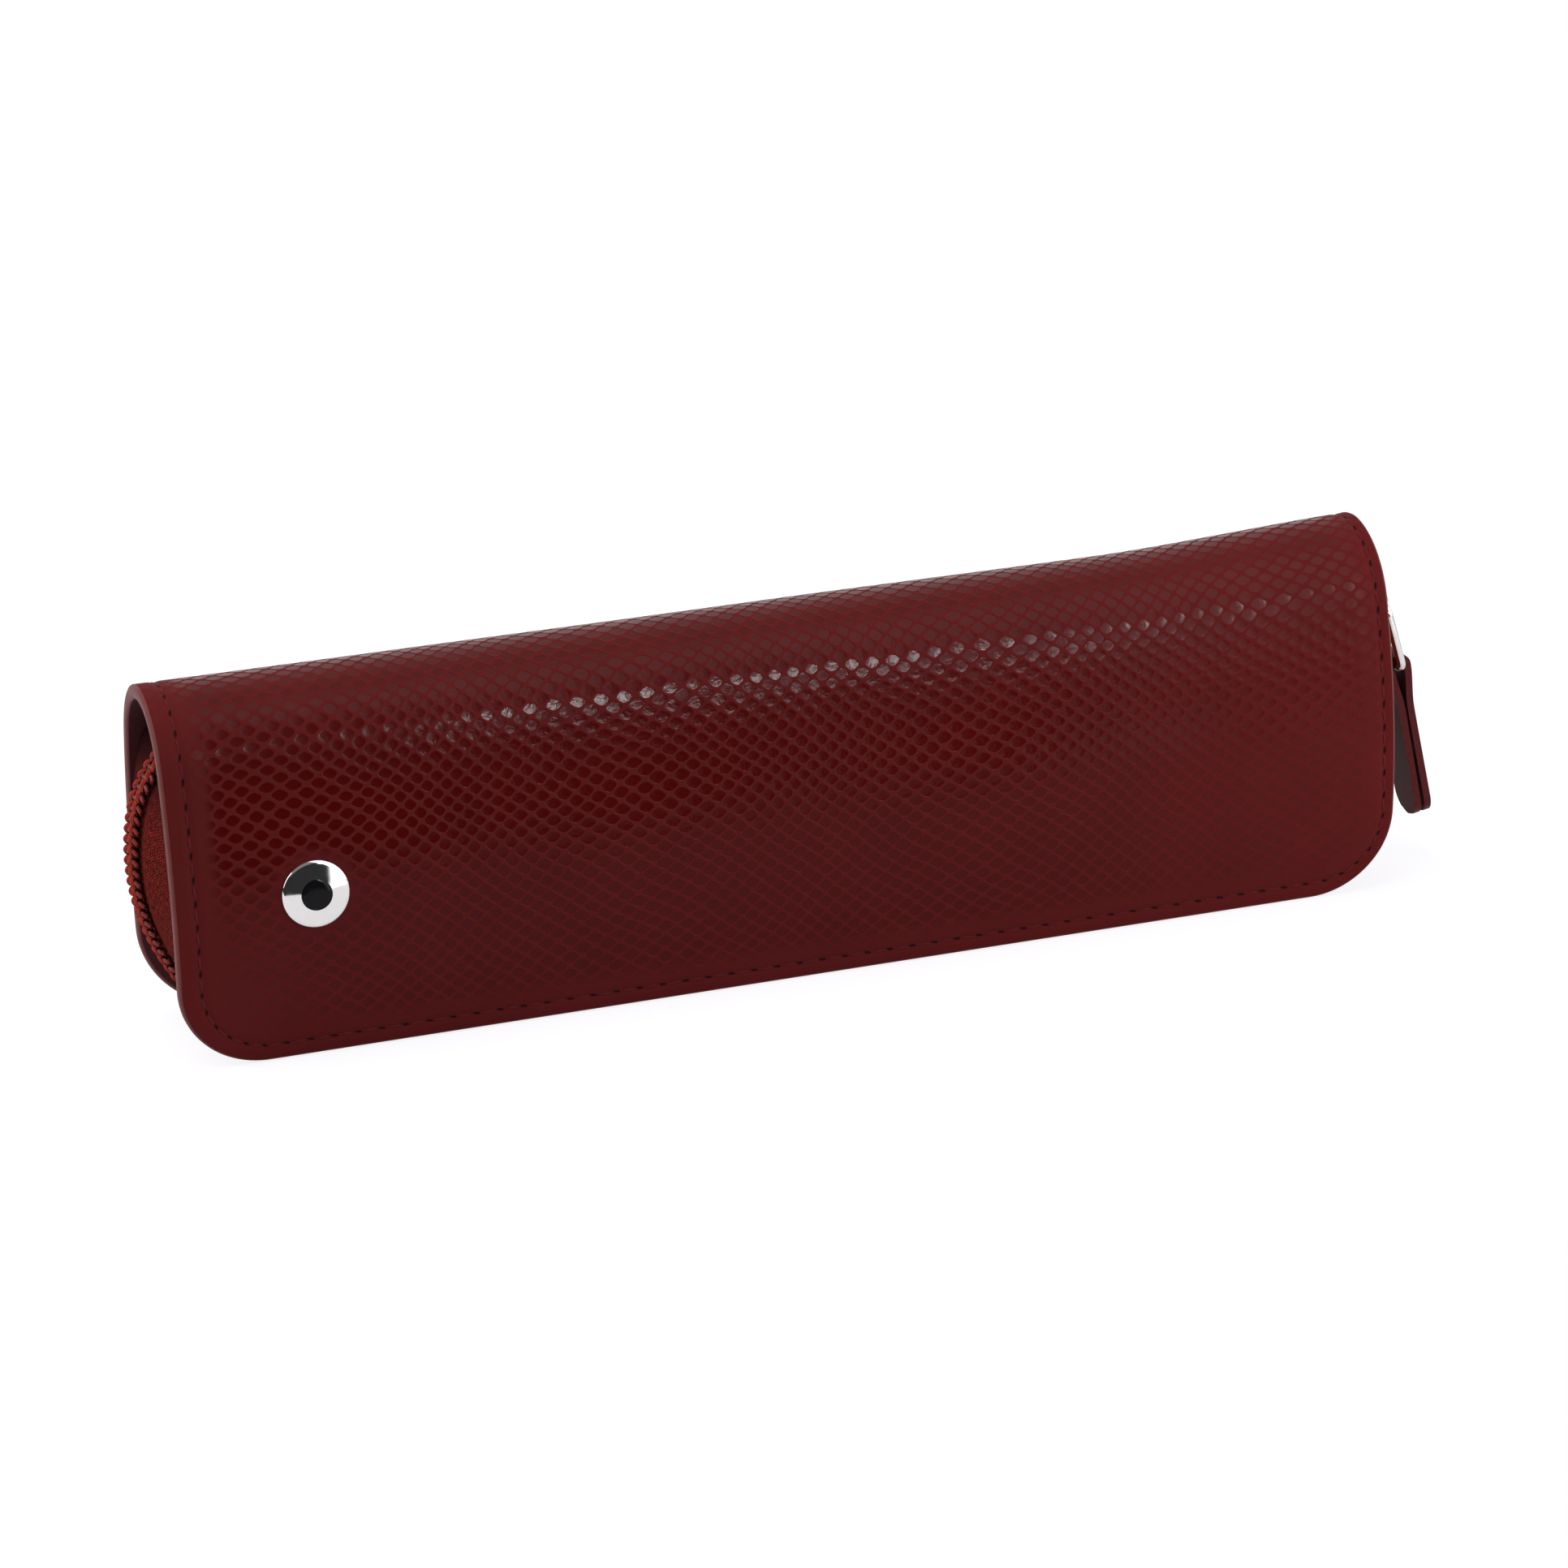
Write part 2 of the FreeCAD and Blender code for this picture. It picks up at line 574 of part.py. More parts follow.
pieces = build()
reach = [min(s.BoundBox.XMin for s in pieces.values()), max(s.BoundBox.XMax for s in pieces.values())]
middle = sum(reach) / 2
os.makedirs("parts", exist_ok=True)
for name, shape in pieces.items():
    shape.translate(Vector(-middle, 0, 0))
    shape.exportStep("parts/" + name + ".step")
    box = shape.BoundBox
    print(
        f"{name}: {len(shape.Solids)} solids, {shape.Volume:.1f} mm3, valid {shape.isValid()},"
        f" X {box.XMin:.2f} {box.XMax:.2f} Y {box.YMin:.2f} {box.YMax:.2f} Z {box.ZMin:.2f} {box.ZMax:.2f}"
    )
print(f"middle of the case at X {-middle:.3f}")
for name, pivot in (("link", LINK_TOP), ("strap", LINK_BASE)):
    print(f"{name} turns about X {pivot.x - middle:.3f} Z {pivot.z:.3f}")
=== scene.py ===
import math

import bmesh
import bpy
import numpy as np
from mathutils import Matrix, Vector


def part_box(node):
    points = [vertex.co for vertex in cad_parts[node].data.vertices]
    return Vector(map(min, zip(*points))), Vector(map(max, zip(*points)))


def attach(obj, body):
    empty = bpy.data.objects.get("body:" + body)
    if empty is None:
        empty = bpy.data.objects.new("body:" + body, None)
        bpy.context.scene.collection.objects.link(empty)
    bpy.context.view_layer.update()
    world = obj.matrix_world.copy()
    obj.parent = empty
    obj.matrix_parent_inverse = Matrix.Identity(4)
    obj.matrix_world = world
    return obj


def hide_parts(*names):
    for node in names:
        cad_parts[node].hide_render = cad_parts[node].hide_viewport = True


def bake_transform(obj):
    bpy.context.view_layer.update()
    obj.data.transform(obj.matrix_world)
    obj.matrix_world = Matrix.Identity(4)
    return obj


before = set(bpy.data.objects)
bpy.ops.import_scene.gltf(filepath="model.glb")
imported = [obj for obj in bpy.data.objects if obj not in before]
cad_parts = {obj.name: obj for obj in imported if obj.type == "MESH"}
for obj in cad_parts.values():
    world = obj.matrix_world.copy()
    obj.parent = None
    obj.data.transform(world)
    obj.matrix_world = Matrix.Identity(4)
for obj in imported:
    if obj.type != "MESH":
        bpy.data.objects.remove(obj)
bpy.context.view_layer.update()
scene = bpy.context.scene
scene.view_settings.view_transform = "Standard"

# Camera. A long lens stands in front of the case, to the left of its middle and a little above it,
# and leans by two degrees, as in the photograph.
MM = 0.001
MIDDLE = 500 * sum(corner[0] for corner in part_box("back_leather"))  # x of the case's middle, in millimetres
LENS, SENSOR = 122.578, 36.0
LENS_PLACE = (-0.19693, -0.60086, 0.24834)
LENS_ANGLES = (18.266, 19.682, -1.890)
camera = bpy.data.objects.new("camera", bpy.data.cameras.new("camera"))
camera.data.sensor_width = SENSOR
camera.data.lens = LENS
aside, above, lean = (math.radians(angle) for angle in LENS_ANGLES)
camera.matrix_world = (
    Matrix.Translation((MIDDLE * MM + LENS_PLACE[0], *LENS_PLACE[1:]))
    @ Matrix.Rotation(-aside, 4, "Z")
    @ Matrix.Rotation(math.pi / 2 - above, 4, "X")
    @ Matrix.Rotation(lean, 4, "Z")
)
scene.collection.objects.link(camera)
scene.camera = camera

# Outer leather. One calf skin, pressed with a net of raised matt lines round glossy diamonds, covers the back,
# the spine and the front. It is glued over stiff boards, and is made here as two halves that meet on the crown.
# Sizes are in millimetres, and "down" is measured from the crown.
WALLS = ((1, "back"), (-1, "front"))
HALF_LENGTH = 80.0
CORNER = 11.0
ARCH_RADIUS = 10.5
ARCH_Z = 35.5
FLANK_RADIUS = 81.0
ARCH_END = math.radians(75.65)
FLANK_END = math.radians(99.6)
ARCH_DOWN = ARCH_RADIUS * ARCH_END
FLANK_DOWN = FLANK_RADIUS * (FLANK_END - ARCH_END)
FLANK_Y = (ARCH_RADIUS - FLANK_RADIUS) * math.sin(ARCH_END)
FLANK_Z = ARCH_Z + (ARCH_RADIUS - FLANK_RADIUS) * math.cos(ARCH_END)
WALL_DOWN = ARCH_DOWN + FLANK_DOWN + (FLANK_Z + FLANK_RADIUS * math.cos(FLANK_END)) / math.sin(FLANK_END)
RIM_LENGTH = 2 * (WALL_DOWN - CORNER) + math.pi * CORNER + 2 * (HALF_LENGTH - CORNER)
END_FLARE, FLARE_RUN = 1.5, (44, 84)
EDGE_INSET = 0.35
SKIN = 1.0
STITCH_PITCH = 3.0
STITCH_INSET = 2.2
STITCH_SHIFT = 0.6
GROOVE_DEPTH, GROOVE_SIDE = 0.13, (0.15, 0.8)
EMBLEM, EMBLEM_DOWN = (-62.5, 21.5), 30.7
NET = (0.365, 0.465)  # slanted lines to a millimetre, along the case and down
PRESSED = 0.025
PLAIN_RIM, PLAIN_RING = (2.0, 6.5), (4.4, 6.4)
FADED_CORNER, FADE_REACH = (-84, 54), (9, 30)
LEFT_BLUR, RIGHT_BLUR, RIGHT_SHEEN_AND_SOFTENING = (-78.0, -30.0), (40.0, 76.0), (25.0, 70.0)
LEATHER_GRID, INNER_STEP = (138, 40, 521), 40
LINE_RED, CELL_RED = (0.104, 0.0070, 0.0076), (0.077, 0.0026, 0.0025)
PATCH_TINTS = ((0.86, 0.84, 0.84), (1.12, 1.15, 1.15))
NEEDLE_HOLE_SHADE = (0.012, 0.001, 0.002)


def ease(value, low, high):
    """Smooth step from 0 at low to 1 at high: 3 t^2 - 2 t^3."""
    t = np.clip((value - low) / (high - low), 0, 1)
    return t * t * (3 - 2 * t)


def wall(x, down, depth, side):
    """Point of a wall from its flat pattern: x along the case, down from the crown on the face, and a depth.

    The section is an arch, a bulging flank and a straight foot, each tangent to the next. A point goes in from the
    face along the normal by its depth. The right end flares upwards, and two shallow swells run along the flank.
    """
    x, down, depth = np.broadcast_arrays(x, down, depth)
    turn = np.clip(down, 0, ARCH_DOWN) / ARCH_RADIUS + np.clip(down - ARCH_DOWN, 0, FLANK_DOWN) / FLANK_RADIUS
    out_y, out_z = np.sin(turn), np.cos(turn)
    on_arch = down < ARCH_DOWN
    foot = np.clip(down - ARCH_DOWN - FLANK_DOWN, 0, None)
    y = np.where(on_arch, ARCH_RADIUS * out_y, FLANK_Y + FLANK_RADIUS * out_y) + foot * out_z
    z = np.where(on_arch, ARCH_Z + ARCH_RADIUS * out_z, FLANK_Z + FLANK_RADIUS * out_z) - foot * out_y
    share = down / WALL_DOWN
    waves = 0.10 * np.sin(x / 13 + side) + 0.07 * np.sin(x / 7.3 + down / 9)
    out = np.sin(math.pi * np.clip(share, 0, 1)) * waves - depth
    lift = END_FLARE * ease(x, *FLARE_RUN) * np.clip(1 - share, 0, 1)
    return np.stack((x + MIDDLE, side * (y + out * out_y), z + out * out_z + lift), -1)


def panel(inset, straight_rows, corner_rows, columns):
    """Flat grid of a wall, in x and distance down: rows from end to end, shorter round the two lower corners."""
    sweep = np.linspace(0, math.pi / 2, corner_rows + 1)[1:]
    straight = np.linspace(0, WALL_DOWN - CORNER, straight_rows)
    down = np.concatenate((straight, WALL_DOWN - CORNER + (CORNER - inset) * np.sin(sweep)))
    half = np.concatenate((
        np.full(straight_rows, HALF_LENGTH - inset), HALF_LENGTH - CORNER + (CORNER - inset) * np.cos(sweep)
    ))
    x = half[:, None] * np.linspace(-1, 1, columns)
    return x, np.repeat(down[:, None], columns, axis=1)


def rim_place(x, down):
    """Distance along a wall's rim from the left crown, and distance in from it, of points of the flat pattern."""
    across, rise = HALF_LENGTH - np.abs(x), WALL_DOWN - down
    past, below = CORNER - across, CORNER - rise
    cornered = (past > 0) & (below > 0)
    angle = np.arctan2(below, np.where(cornered, past, 1.0))
    at_end = across < rise
    corner_start = WALL_DOWN - CORNER
    inset = np.where(cornered, CORNER - np.hypot(past, below), np.where(at_end, across, rise))
    foot = corner_start + CORNER * math.pi / 2 + across - CORNER
    along = np.where(cornered, corner_start + CORNER * angle, np.where(at_end, down, foot))
    return np.where(x > 0, RIM_LENGTH - along, along), inset


def rim_point(along, inset):
    """Flat place at a distance along the rim from the left crown and in from it: end, corner, foot, corner, end."""
    near = np.minimum(along, RIM_LENGTH - along)
    corner_start = WALL_DOWN - CORNER
    angle = np.clip((near - corner_start) / CORNER, 0, math.pi / 2)
    foot = np.clip(near - corner_start - CORNER * math.pi / 2, 0, None)
    x = HALF_LENGTH - CORNER + (CORNER - inset) * np.cos(angle) - foot
    down = np.minimum(near, corner_start) + (CORNER - inset) * np.sin(angle)
    return np.where(along < RIM_LENGTH / 2, -x, x), down


def quads(rows, columns, wrap=False):
    """Faces of a grid whose points are numbered row by row. With wrap, the last column joins the first."""
    numbers = np.arange(rows * columns).reshape(rows, columns)
    after = np.roll(numbers, -1, axis=1)
    if not wrap:
        numbers, after = numbers[:, :-1], after[:, :-1]
    return np.stack((numbers[:-1], after[:-1], after[1:], numbers[1:]), -1).reshape(-1, 4)


def skin(outer, inner):
    """Closed sheet with a fine outer face, and an inner face of the same rows and far fewer columns.

    Quads close both ends, where the rows of the two faces meet, and wide faces close the first and the last row.
    """
    rows, columns = outer.shape[:2]
    coarse = inner.shape[1]
    span = (columns - 1) // (coarse - 1)
    front = np.arange(rows * columns).reshape(rows, columns)
    back = rows * columns + np.arange(rows * coarse).reshape(rows, coarse)
    faces = quads(rows, columns).tolist() + (quads(rows, coarse)[:, ::-1] + rows * columns).tolist()
    for edge in (0, -1):
        faces += np.stack((front[:-1, edge], back[:-1, edge], back[1:, edge], front[1:, edge]), -1).tolist()
        runs = np.lib.stride_tricks.sliding_window_view(front[edge], span + 1)[::span]
        faces += np.concatenate((runs, back[edge, 1:, None], back[edge, :-1, None]), 1).tolist()
    return np.concatenate((outer.reshape(-1, 3), inner.reshape(-1, 3))), faces


def pressed_cell(x, down):
    """Share of a cell at a place of the pressed net: 0 on its lines and 1 inside a diamond with round corners.

    Each family of lines runs where a slanted count is a whole number. In a diamond each count lies within half of its
    middle, and the cube root of the two offsets' cubes is the distance from that middle.
    """
    counts = (NET[0] * x + NET[1] * down, NET[0] * x - NET[1] * down)
    first, second = (0.5 - np.abs(count - np.round(count)) for count in counts)
    return ease(0.5 - np.cbrt(first**3 + second**3), 0.02, 0.2)


def slab(outer, inner):
    """Closed sheet between two grids of the same size: both faces, then a wall round the four edges."""
    rows, columns = outer.shape[:2]
    numbers = np.arange(rows * columns).reshape(rows, columns)
    loop = np.concatenate((numbers[0, :-1], numbers[:-1, -1], numbers[-1, :0:-1], numbers[:0:-1, 0]))
    after = np.roll(loop, -1)
    face = quads(rows, columns)
    count = rows * columns
    edge = np.stack((loop, loop + count, after + count, after), -1)
    points = np.concatenate((outer.reshape(-1, 3), inner.reshape(-1, 3)))
    return points, np.concatenate((face, face[:, ::-1] + count, edge)), len(edge)


def made(name, points, faces, finishes, attributes=None, second=None, sharp=50):
    """Object from points in millimetres: normals outwards, smooth, with sharp edges past an angle.

    Attributes are one vector for each point, and second says which faces take the second finish.
    """
    mesh = bpy.data.meshes.new(name)
    faces = faces if isinstance(faces, list) else faces.tolist()
    mesh.from_pydata(points.reshape(-1, 3) * MM, [], faces)
    if second is not None:
        mesh.polygons.foreach_set("material_index", second.astype(np.int32))
    shell = bmesh.new()
    shell.from_mesh(mesh)
    bmesh.ops.recalc_face_normals(shell, faces=shell.faces)
    shell.to_mesh(mesh)
    shell.free()
    for surface in finishes:
        mesh.materials.append(surface)
    for key, values in (attributes or {}).items():
        mark = mesh.attributes.new(key, "FLOAT_VECTOR", "POINT")
        mark.data.foreach_set("vector", np.ascontiguousarray(values, np.float32).ravel())
    mesh.shade_smooth()
    mesh.set_sharp_from_angle(angle=math.radians(sharp))
    thing = bpy.data.objects.new(name, mesh)
    scene.collection.objects.link(thing)
    return thing


def bend(thing, side):
    """Bakes a piece's placement into its mesh, alike for either wall."""
    if side > 0:
        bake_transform(thing)
    else:
        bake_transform(thing)


def finish(name, **constants):
    """New material with the shader's constant sockets set by name. Gives the material, its tree and its shader."""
    made_of = bpy.data.materials.new(name)
    made_of.use_nodes = True
    shader = made_of.node_tree.nodes["Principled BSDF"]
    for key, value in constants.items():
        shader.inputs[key.replace("_", " ")].default_value = value
    return made_of, made_of.node_tree, shader


def node(tree, kind, *sources, **settings):
    """New node of a kind, with its settings. A source is a socket to link or a constant, for each input in turn."""
    fresh = tree.nodes.new("ShaderNode" + kind)
    for key, value in settings.items():
        setattr(fresh, key, value)
    for place, source in enumerate(sources):
        if isinstance(source, bpy.types.NodeSocket):
            tree.links.new(source, fresh.inputs[place])
        elif source is not None:
            fresh.inputs[place].default_value = source
    return fresh


def sums(tree, operation, *sources):
    """Result of a Math node."""
    return node(tree, "Math", *sources, operation=operation).outputs[0]


def step(tree, value, low, high, start=0.0, end=1.0):
    """Smooth step of a value from start at low to end at high."""
    ramp = node(tree, "MapRange", value, low, high, start, end, interpolation_type="SMOOTHSTEP")
    return ramp.outputs[0]


def tint(tree, share, first, second, blend="MIX"):
    """Mix of two colours by a share."""
    mix = node(tree, "Mix", data_type="RGBA", blend_type=blend)
    for place, source in ((0, share), (6, first), (7, second)):
        if isinstance(source, bpy.types.NodeSocket):
            tree.links.new(source, mix.inputs[place])
        else:
            mix.inputs[place].default_value = source if place == 0 else (*source, 1.0)
    return mix.outputs[2]


def noise(tree, vector, scale, detail=2.0, rough=0.5):
    """Noise at a scale on a vector: the node, for its value and its colour."""
    return node(tree, "TexNoise", vector, None, scale, detail, rough)


def field(tree, name):
    """One of the piece's own attributes as a vector."""
    return node(tree, "Attribute", attribute_name=name).outputs["Vector"]


def dot(tree, vector, way):
    """How far a vector goes along a way: their scalar product."""
    return node(tree, "VectorMath", vector, way, operation="DOT_PRODUCT").outputs["Value"]


def dress(tree, shader, colour, rough, height):
    """Links colour, roughness and a height in millimetres to a shader."""
    tree.links.new(colour, shader.inputs["Base Color"])
    if isinstance(rough, bpy.types.NodeSocket):
        tree.links.new(rough, shader.inputs["Roughness"])
    else:
        shader.inputs["Roughness"].default_value = rough
    bump = node(tree, "Bump", 1.0, MM)
    tree.links.new(height, bump.inputs["Height"])
    tree.links.new(bump.outputs[0], shader.inputs["Normal"])


pressed_leather, tree, shader = finish("pressed_leather", Specular_IOR_Level=0.1)
grain = field(tree, "grain")

# The net is the one of pressed_cell, a little uneven. It blurs towards both ends, where the press bit less.
offsets = []
for slant in (NET[1], -NET[1]):
    count = dot(tree, grain, (NET[0], slant, 0.0))
    off_middle = sums(tree, "SUBTRACT", 0.5, sums(tree, "PINGPONG", count, 0.5))
    offsets.append(sums(tree, "POWER", off_middle, 3.0))
from_middle = sums(tree, "POWER", sums(tree, "ADD", offsets[0], offsets[1]), 1 / 3)
uneven = noise(tree, grain, 0.55, 1.0).outputs[0]
nearest = sums(tree, "MULTIPLY_ADD", uneven, 0.09, sums(tree, "SUBTRACT", 0.455, from_middle))
along_case, _, relief = node(tree, "SeparateXYZ", grain).outputs
crisp_left = step(tree, along_case, *LEFT_BLUR, 0.12, 1.0)
crisp_right = step(tree, along_case, *RIGHT_BLUR, 1.0, 0.2)
crisp = sums(tree, "MINIMUM", crisp_left, crisp_right)
nearest = sums(tree, "ADD", nearest, sums(tree, "MULTIPLY_ADD", crisp, 0.05, -0.05))
cell = sums(tree, "MULTIPLY", step(tree, nearest, 0.04, 0.10), relief)
# Towards the right end the diamonds lose part of their darker colour and sink less: partly a painted reflection of
# the bright right side, partly a softer press.
cell = sums(tree, "MULTIPLY", cell, step(tree, along_case, *RIGHT_SHEEN_AND_SOFTENING, 1.0, 0.45))
polish = sums(tree, "MULTIPLY", step(tree, nearest, 0.05, 0.09), relief)
wrinkle = noise(tree, grain, 2.0, 2.0, 0.5).outputs[0]
pores = noise(tree, grain, 9.0, 2.0, 0.6).outputs[0]
patches = noise(tree, grain, 0.11, 3.0).outputs[0]

# A slanted needle hole lies between each stitch and the next. It is sunk, and painted nearly black as painted shade.
rim = node(tree, "SeparateXYZ", field(tree, "rim"))
off_line = sums(tree, "SUBTRACT", rim.outputs[1], STITCH_INSET)
slanted = sums(tree, "MULTIPLY_ADD", off_line, 0.9, rim.outputs[0])
off_line = sums(tree, "ABSOLUTE", off_line)
off_hole = sums(tree, "PINGPONG", slanted, STITCH_PITCH / 2)
hole_across = step(tree, off_line, 0.09, 0.2, 1.0, 0.0)
hole_along = step(tree, off_hole, 0.28, 0.45, 1.0, 0.0)
hole = sums(tree, "MULTIPLY", hole_across, hole_along)

# The lines are matt and lighter, and the diamonds lie lower, darker and glossy.
colour = tint(tree, cell, LINE_RED, CELL_RED)
colour = tint(tree, 1.0, colour, tint(tree, patches, *PATCH_TINTS), "MULTIPLY")
# Painted shade: the needle holes are nearly black.
colour = tint(tree, hole, colour, NEEDLE_HOLE_SHADE)
rough = sums(tree, "MULTIPLY_ADD", polish, -0.60, sums(tree, "MULTIPLY_ADD", pores, 0.12, 0.68))
height = sums(tree, "MULTIPLY", cell, sums(tree, "MULTIPLY_ADD", wrinkle, 0.022, -0.036))
height = sums(tree, "MULTIPLY", height, crisp)
height = sums(tree, "ADD", height, sums(tree, "MULTIPLY", pores, 0.004))
height = sums(tree, "ADD", height, sums(tree, "MULTIPLY", hole, -0.25))
dress(tree, shader, colour, rough, height)

for side, name in WALLS:
    x, down = panel(EDGE_INSET, *LEATHER_GRID)
    along, inset = rim_place(x - STITCH_SHIFT, down)
    from_emblem = np.hypot(x - EMBLEM[0], down - EMBLEM_DOWN) if side < 0 else np.full(x.shape, np.inf)
    from_faded = np.hypot(x - FADED_CORNER[0], down - FADED_CORNER[1])
    relief = 0.12 + 0.88 * ease(inset, *PLAIN_RIM)
    relief = relief * (0.5 + 0.5 * ease(from_emblem, *PLAIN_RING))
    # The net also fades towards the lower left corner: flatter there, with diamonds nearly of the lines' colour.
    relief = relief * (0.15 + 0.85 * ease(from_faded, *FADE_REACH))
    over = side * down
    drift = 0.93 * np.sin(x * math.tau / 45)
    net_x = x + drift + 0.16 * np.sin(x / 3.1 + over / 2.3) + 0.12 * np.sin(over / 1.7 - x / 5.3)
    net_y = over + 0.14 * np.sin(x / 2.7 - over / 3.7) + 0.12 * np.sin(x / 6.1 + over / 1.9)
    groove = GROOVE_DEPTH * (1 - ease(np.abs(inset - STITCH_INSET), *GROOVE_SIDE))
    depth = PRESSED * relief * pressed_cell(net_x, net_y) + groove
    inner = wall(x[:, ::INNER_STEP], down[:, ::INNER_STEP], SKIN, side)
    points, faces = skin(wall(x, down, depth, side), inner)
    grain = np.stack((net_x, net_y, relief), -1)
    rim = np.stack((along, inset, 0 * inset), -1)
    marks = {
        key: np.concatenate((values.reshape(-1, 3), values[:, ::INNER_STEP].reshape(-1, 3)))
        for key, values in (("grain", grain), ("rim", rim))
    }
    leather = made(name + "_outer_leather", points, faces, [pressed_leather], marks)
    bend(leather, side)
    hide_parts(name + "_leather", *(["spine_leather"] if side > 0 else []))

# Lining. A thin smooth leather of dark maroon covers the inside of both walls and of the spine.
# It is glued to the boards and is sewn to the outer leather round the rim.
LINING_DEPTH = (1.42, 1.8)
LINING_GRID = (40, 10, 101)
LINING_REDS = ((0.056, 0.0100, 0.0122), (0.096, 0.0172, 0.0205))
lining_leather, tree, shader = finish("lining_leather", Specular_IOR_Level=0.3)
grain = field(tree, "grain")
creases = node(tree, "TexVoronoi", grain, None, 2.6, feature="DISTANCE_TO_EDGE").outputs[0]
pores = noise(tree, grain, 5.0, 3.0, 0.6).outputs[0]
patches = noise(tree, grain, 0.09, 3.0).outputs[0]
colour = tint(tree, patches, *LINING_REDS)
height = sums(tree, "MULTIPLY_ADD", step(tree, creases, 0.0, 0.2), 0.010, sums(tree, "MULTIPLY", pores, 0.03))
dress(tree, shader, colour, sums(tree, "MULTIPLY_ADD", pores, 0.2, 0.42), height)

for side, name in WALLS:
    x, down = panel(EDGE_INSET, *LINING_GRID)
    grain = np.stack((x, side * down, 0 * x), -1).reshape(-1, 3)
    points, faces, _ = slab(*(wall(x, down, depth, side) for depth in LINING_DEPTH))
    lining = made(name + "_inner_lining", points, faces, [lining_leather], {"grain": np.tile(grain, (2, 1))})
    bend(lining, side)
    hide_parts(name + "_lining", *(["spine_lining"] if side > 0 else []))

# Painted edge. The cut edges of leather and lining are sanded round together and painted by hand
# in several coats of a dull rose red, which lap a little over the face of the leather.
EDGE_LAP, EDGE_PROUD = 0.06, -0.03
EDGE_HALF = 0.9
EDGE_BACK = (1.815, 1.5, 0.3)
EDGE_STEPS = 361
EDGE_REDS = ((0.125, 0.027, 0.027), (0.190, 0.050, 0.048))
edge_paint, tree, shader = finish("edge_paint", Specular_IOR_Level=0.14)
grain = field(tree, "grain")
coats = noise(tree, grain, 0.35, 3.0).outputs[0]
drag = noise(tree, grain, 1.6, 3.0, 0.6).outputs[0]
colour = tint(tree, coats, *EDGE_REDS)
dress(tree, shader, colour, sums(tree, "MULTIPLY_ADD", drag, 0.25, 0.33), sums(tree, "MULTIPLY", drag, 0.05))

for side, name in WALLS:
    along = np.linspace(0, RIM_LENGTH, EDGE_STEPS)[:, None]
    arc = np.linspace(-math.pi / 2, math.pi / 2, 9)
    lap = EDGE_INSET + EDGE_LAP
    inset = np.concatenate(([lap], EDGE_INSET * (1 - np.cos(arc)), np.full(len(EDGE_BACK), lap)))
    depth = np.concatenate(([EDGE_PROUD], EDGE_HALF * (1 + np.sin(arc)), EDGE_BACK))
    x, down = rim_point(along, inset)
    rounds = wall(x, down, depth, side)
    rows, columns = rounds.shape[:2]
    faces = quads(rows, columns, True).tolist()
    faces += [list(range(columns)), list(range((rows - 1) * columns, rows * columns))]
    run = np.stack(np.broadcast_arrays(along, depth, 0.0 * depth), -1).reshape(-1, 3)
    edge = made(name + "_painted_edge", rounds, faces, [edge_paint], {"grain": run})
    bend(edge, side)

# Stitching. A row of lock stitches in dark burgundy thread runs round both walls and over the spine's ends,
# and holds leather, lining and zip tape together. It shows on the leather and, opened, on the lining.
THREAD_RADIUS = 0.18
STITCH_LENGTH = 2.4
STITCH_DIP, STITCH_DIVE = 0.19, 0.42
THREAD_REDS = ((0.085, 0.007, 0.009), (0.150, 0.012, 0.015))
sewing_thread, tree, shader = finish("sewing_thread", Specular_IOR_Level=0.15)
grain = field(tree, "grain")
plies = sums(tree, "PINGPONG", dot(tree, grain, (2.6, 0.55, 0.0)), 0.5)
colour = tint(tree, plies, *THREAD_REDS)
dress(tree, shader, colour, 0.6, sums(tree, "MULTIPLY", plies, 0.08))


def circle(count):
    """Equal angles round a full turn, the last one a step before the first."""
    return np.linspace(0, math.tau, count + 1)[:-1]


def tubes(many, rows, columns):
    """Faces of many closed tubes, whose points are numbered tube by tube, ring by ring, with a cap at each end."""
    first = np.arange(many)[:, None, None] * rows * columns
    sides = (quads(rows, columns, True)[None] + first).reshape(-1, 4)
    ends = np.arange(columns)[None, :] + first.reshape(-1, 1)
    return sides.tolist() + ends.tolist() + (ends + (rows - 1) * columns).tolist()


for side, name in WALLS:
    centres = (np.arange(int(RIM_LENGTH / STITCH_PITCH)) + 0.5) * STITCH_PITCH
    share = np.linspace(-1, 1, 7)[None, :, None]
    ring = circle(6)[None, None, :]
    radius = THREAD_RADIUS * np.sqrt(1 - 0.8 * share**2)
    along = centres[:, None, None] + share * STITCH_LENGTH / 2
    inset = STITCH_INSET + radius * np.cos(ring) + 0.06 * share
    x, down = rim_point(*np.broadcast_arrays(along, inset))
    dip = STITCH_DIP + STITCH_DIVE * share**4 - radius * np.sin(ring)
    turn = np.stack(np.broadcast_arrays(along, ring, 0.0 * share), -1)
    rows = [wall(x + STITCH_SHIFT, down, depth, side) for depth in (dip, LINING_DEPTH[1] - dip)]
    many, length, columns = x.shape
    stitches = made(
        name + "_stitches", np.concatenate(rows), tubes(2 * many, length, columns), [sewing_thread],
        {"grain": np.concatenate((turn, turn)).reshape(-1, 3)},
    )
    bend(stitches, side)

# Stiffener boards. A sheet of fibre board lies between leather and lining in each wall and keeps it flat.
# It is hidden, and keeps its CAD shape.
BOARD_BUFFS = ((0.25, 0.22, 0.18), (0.42, 0.38, 0.33))


def own_place(tree):
    """Object coordinates, in metres."""
    return node(tree, "TexCoord").outputs["Object"]


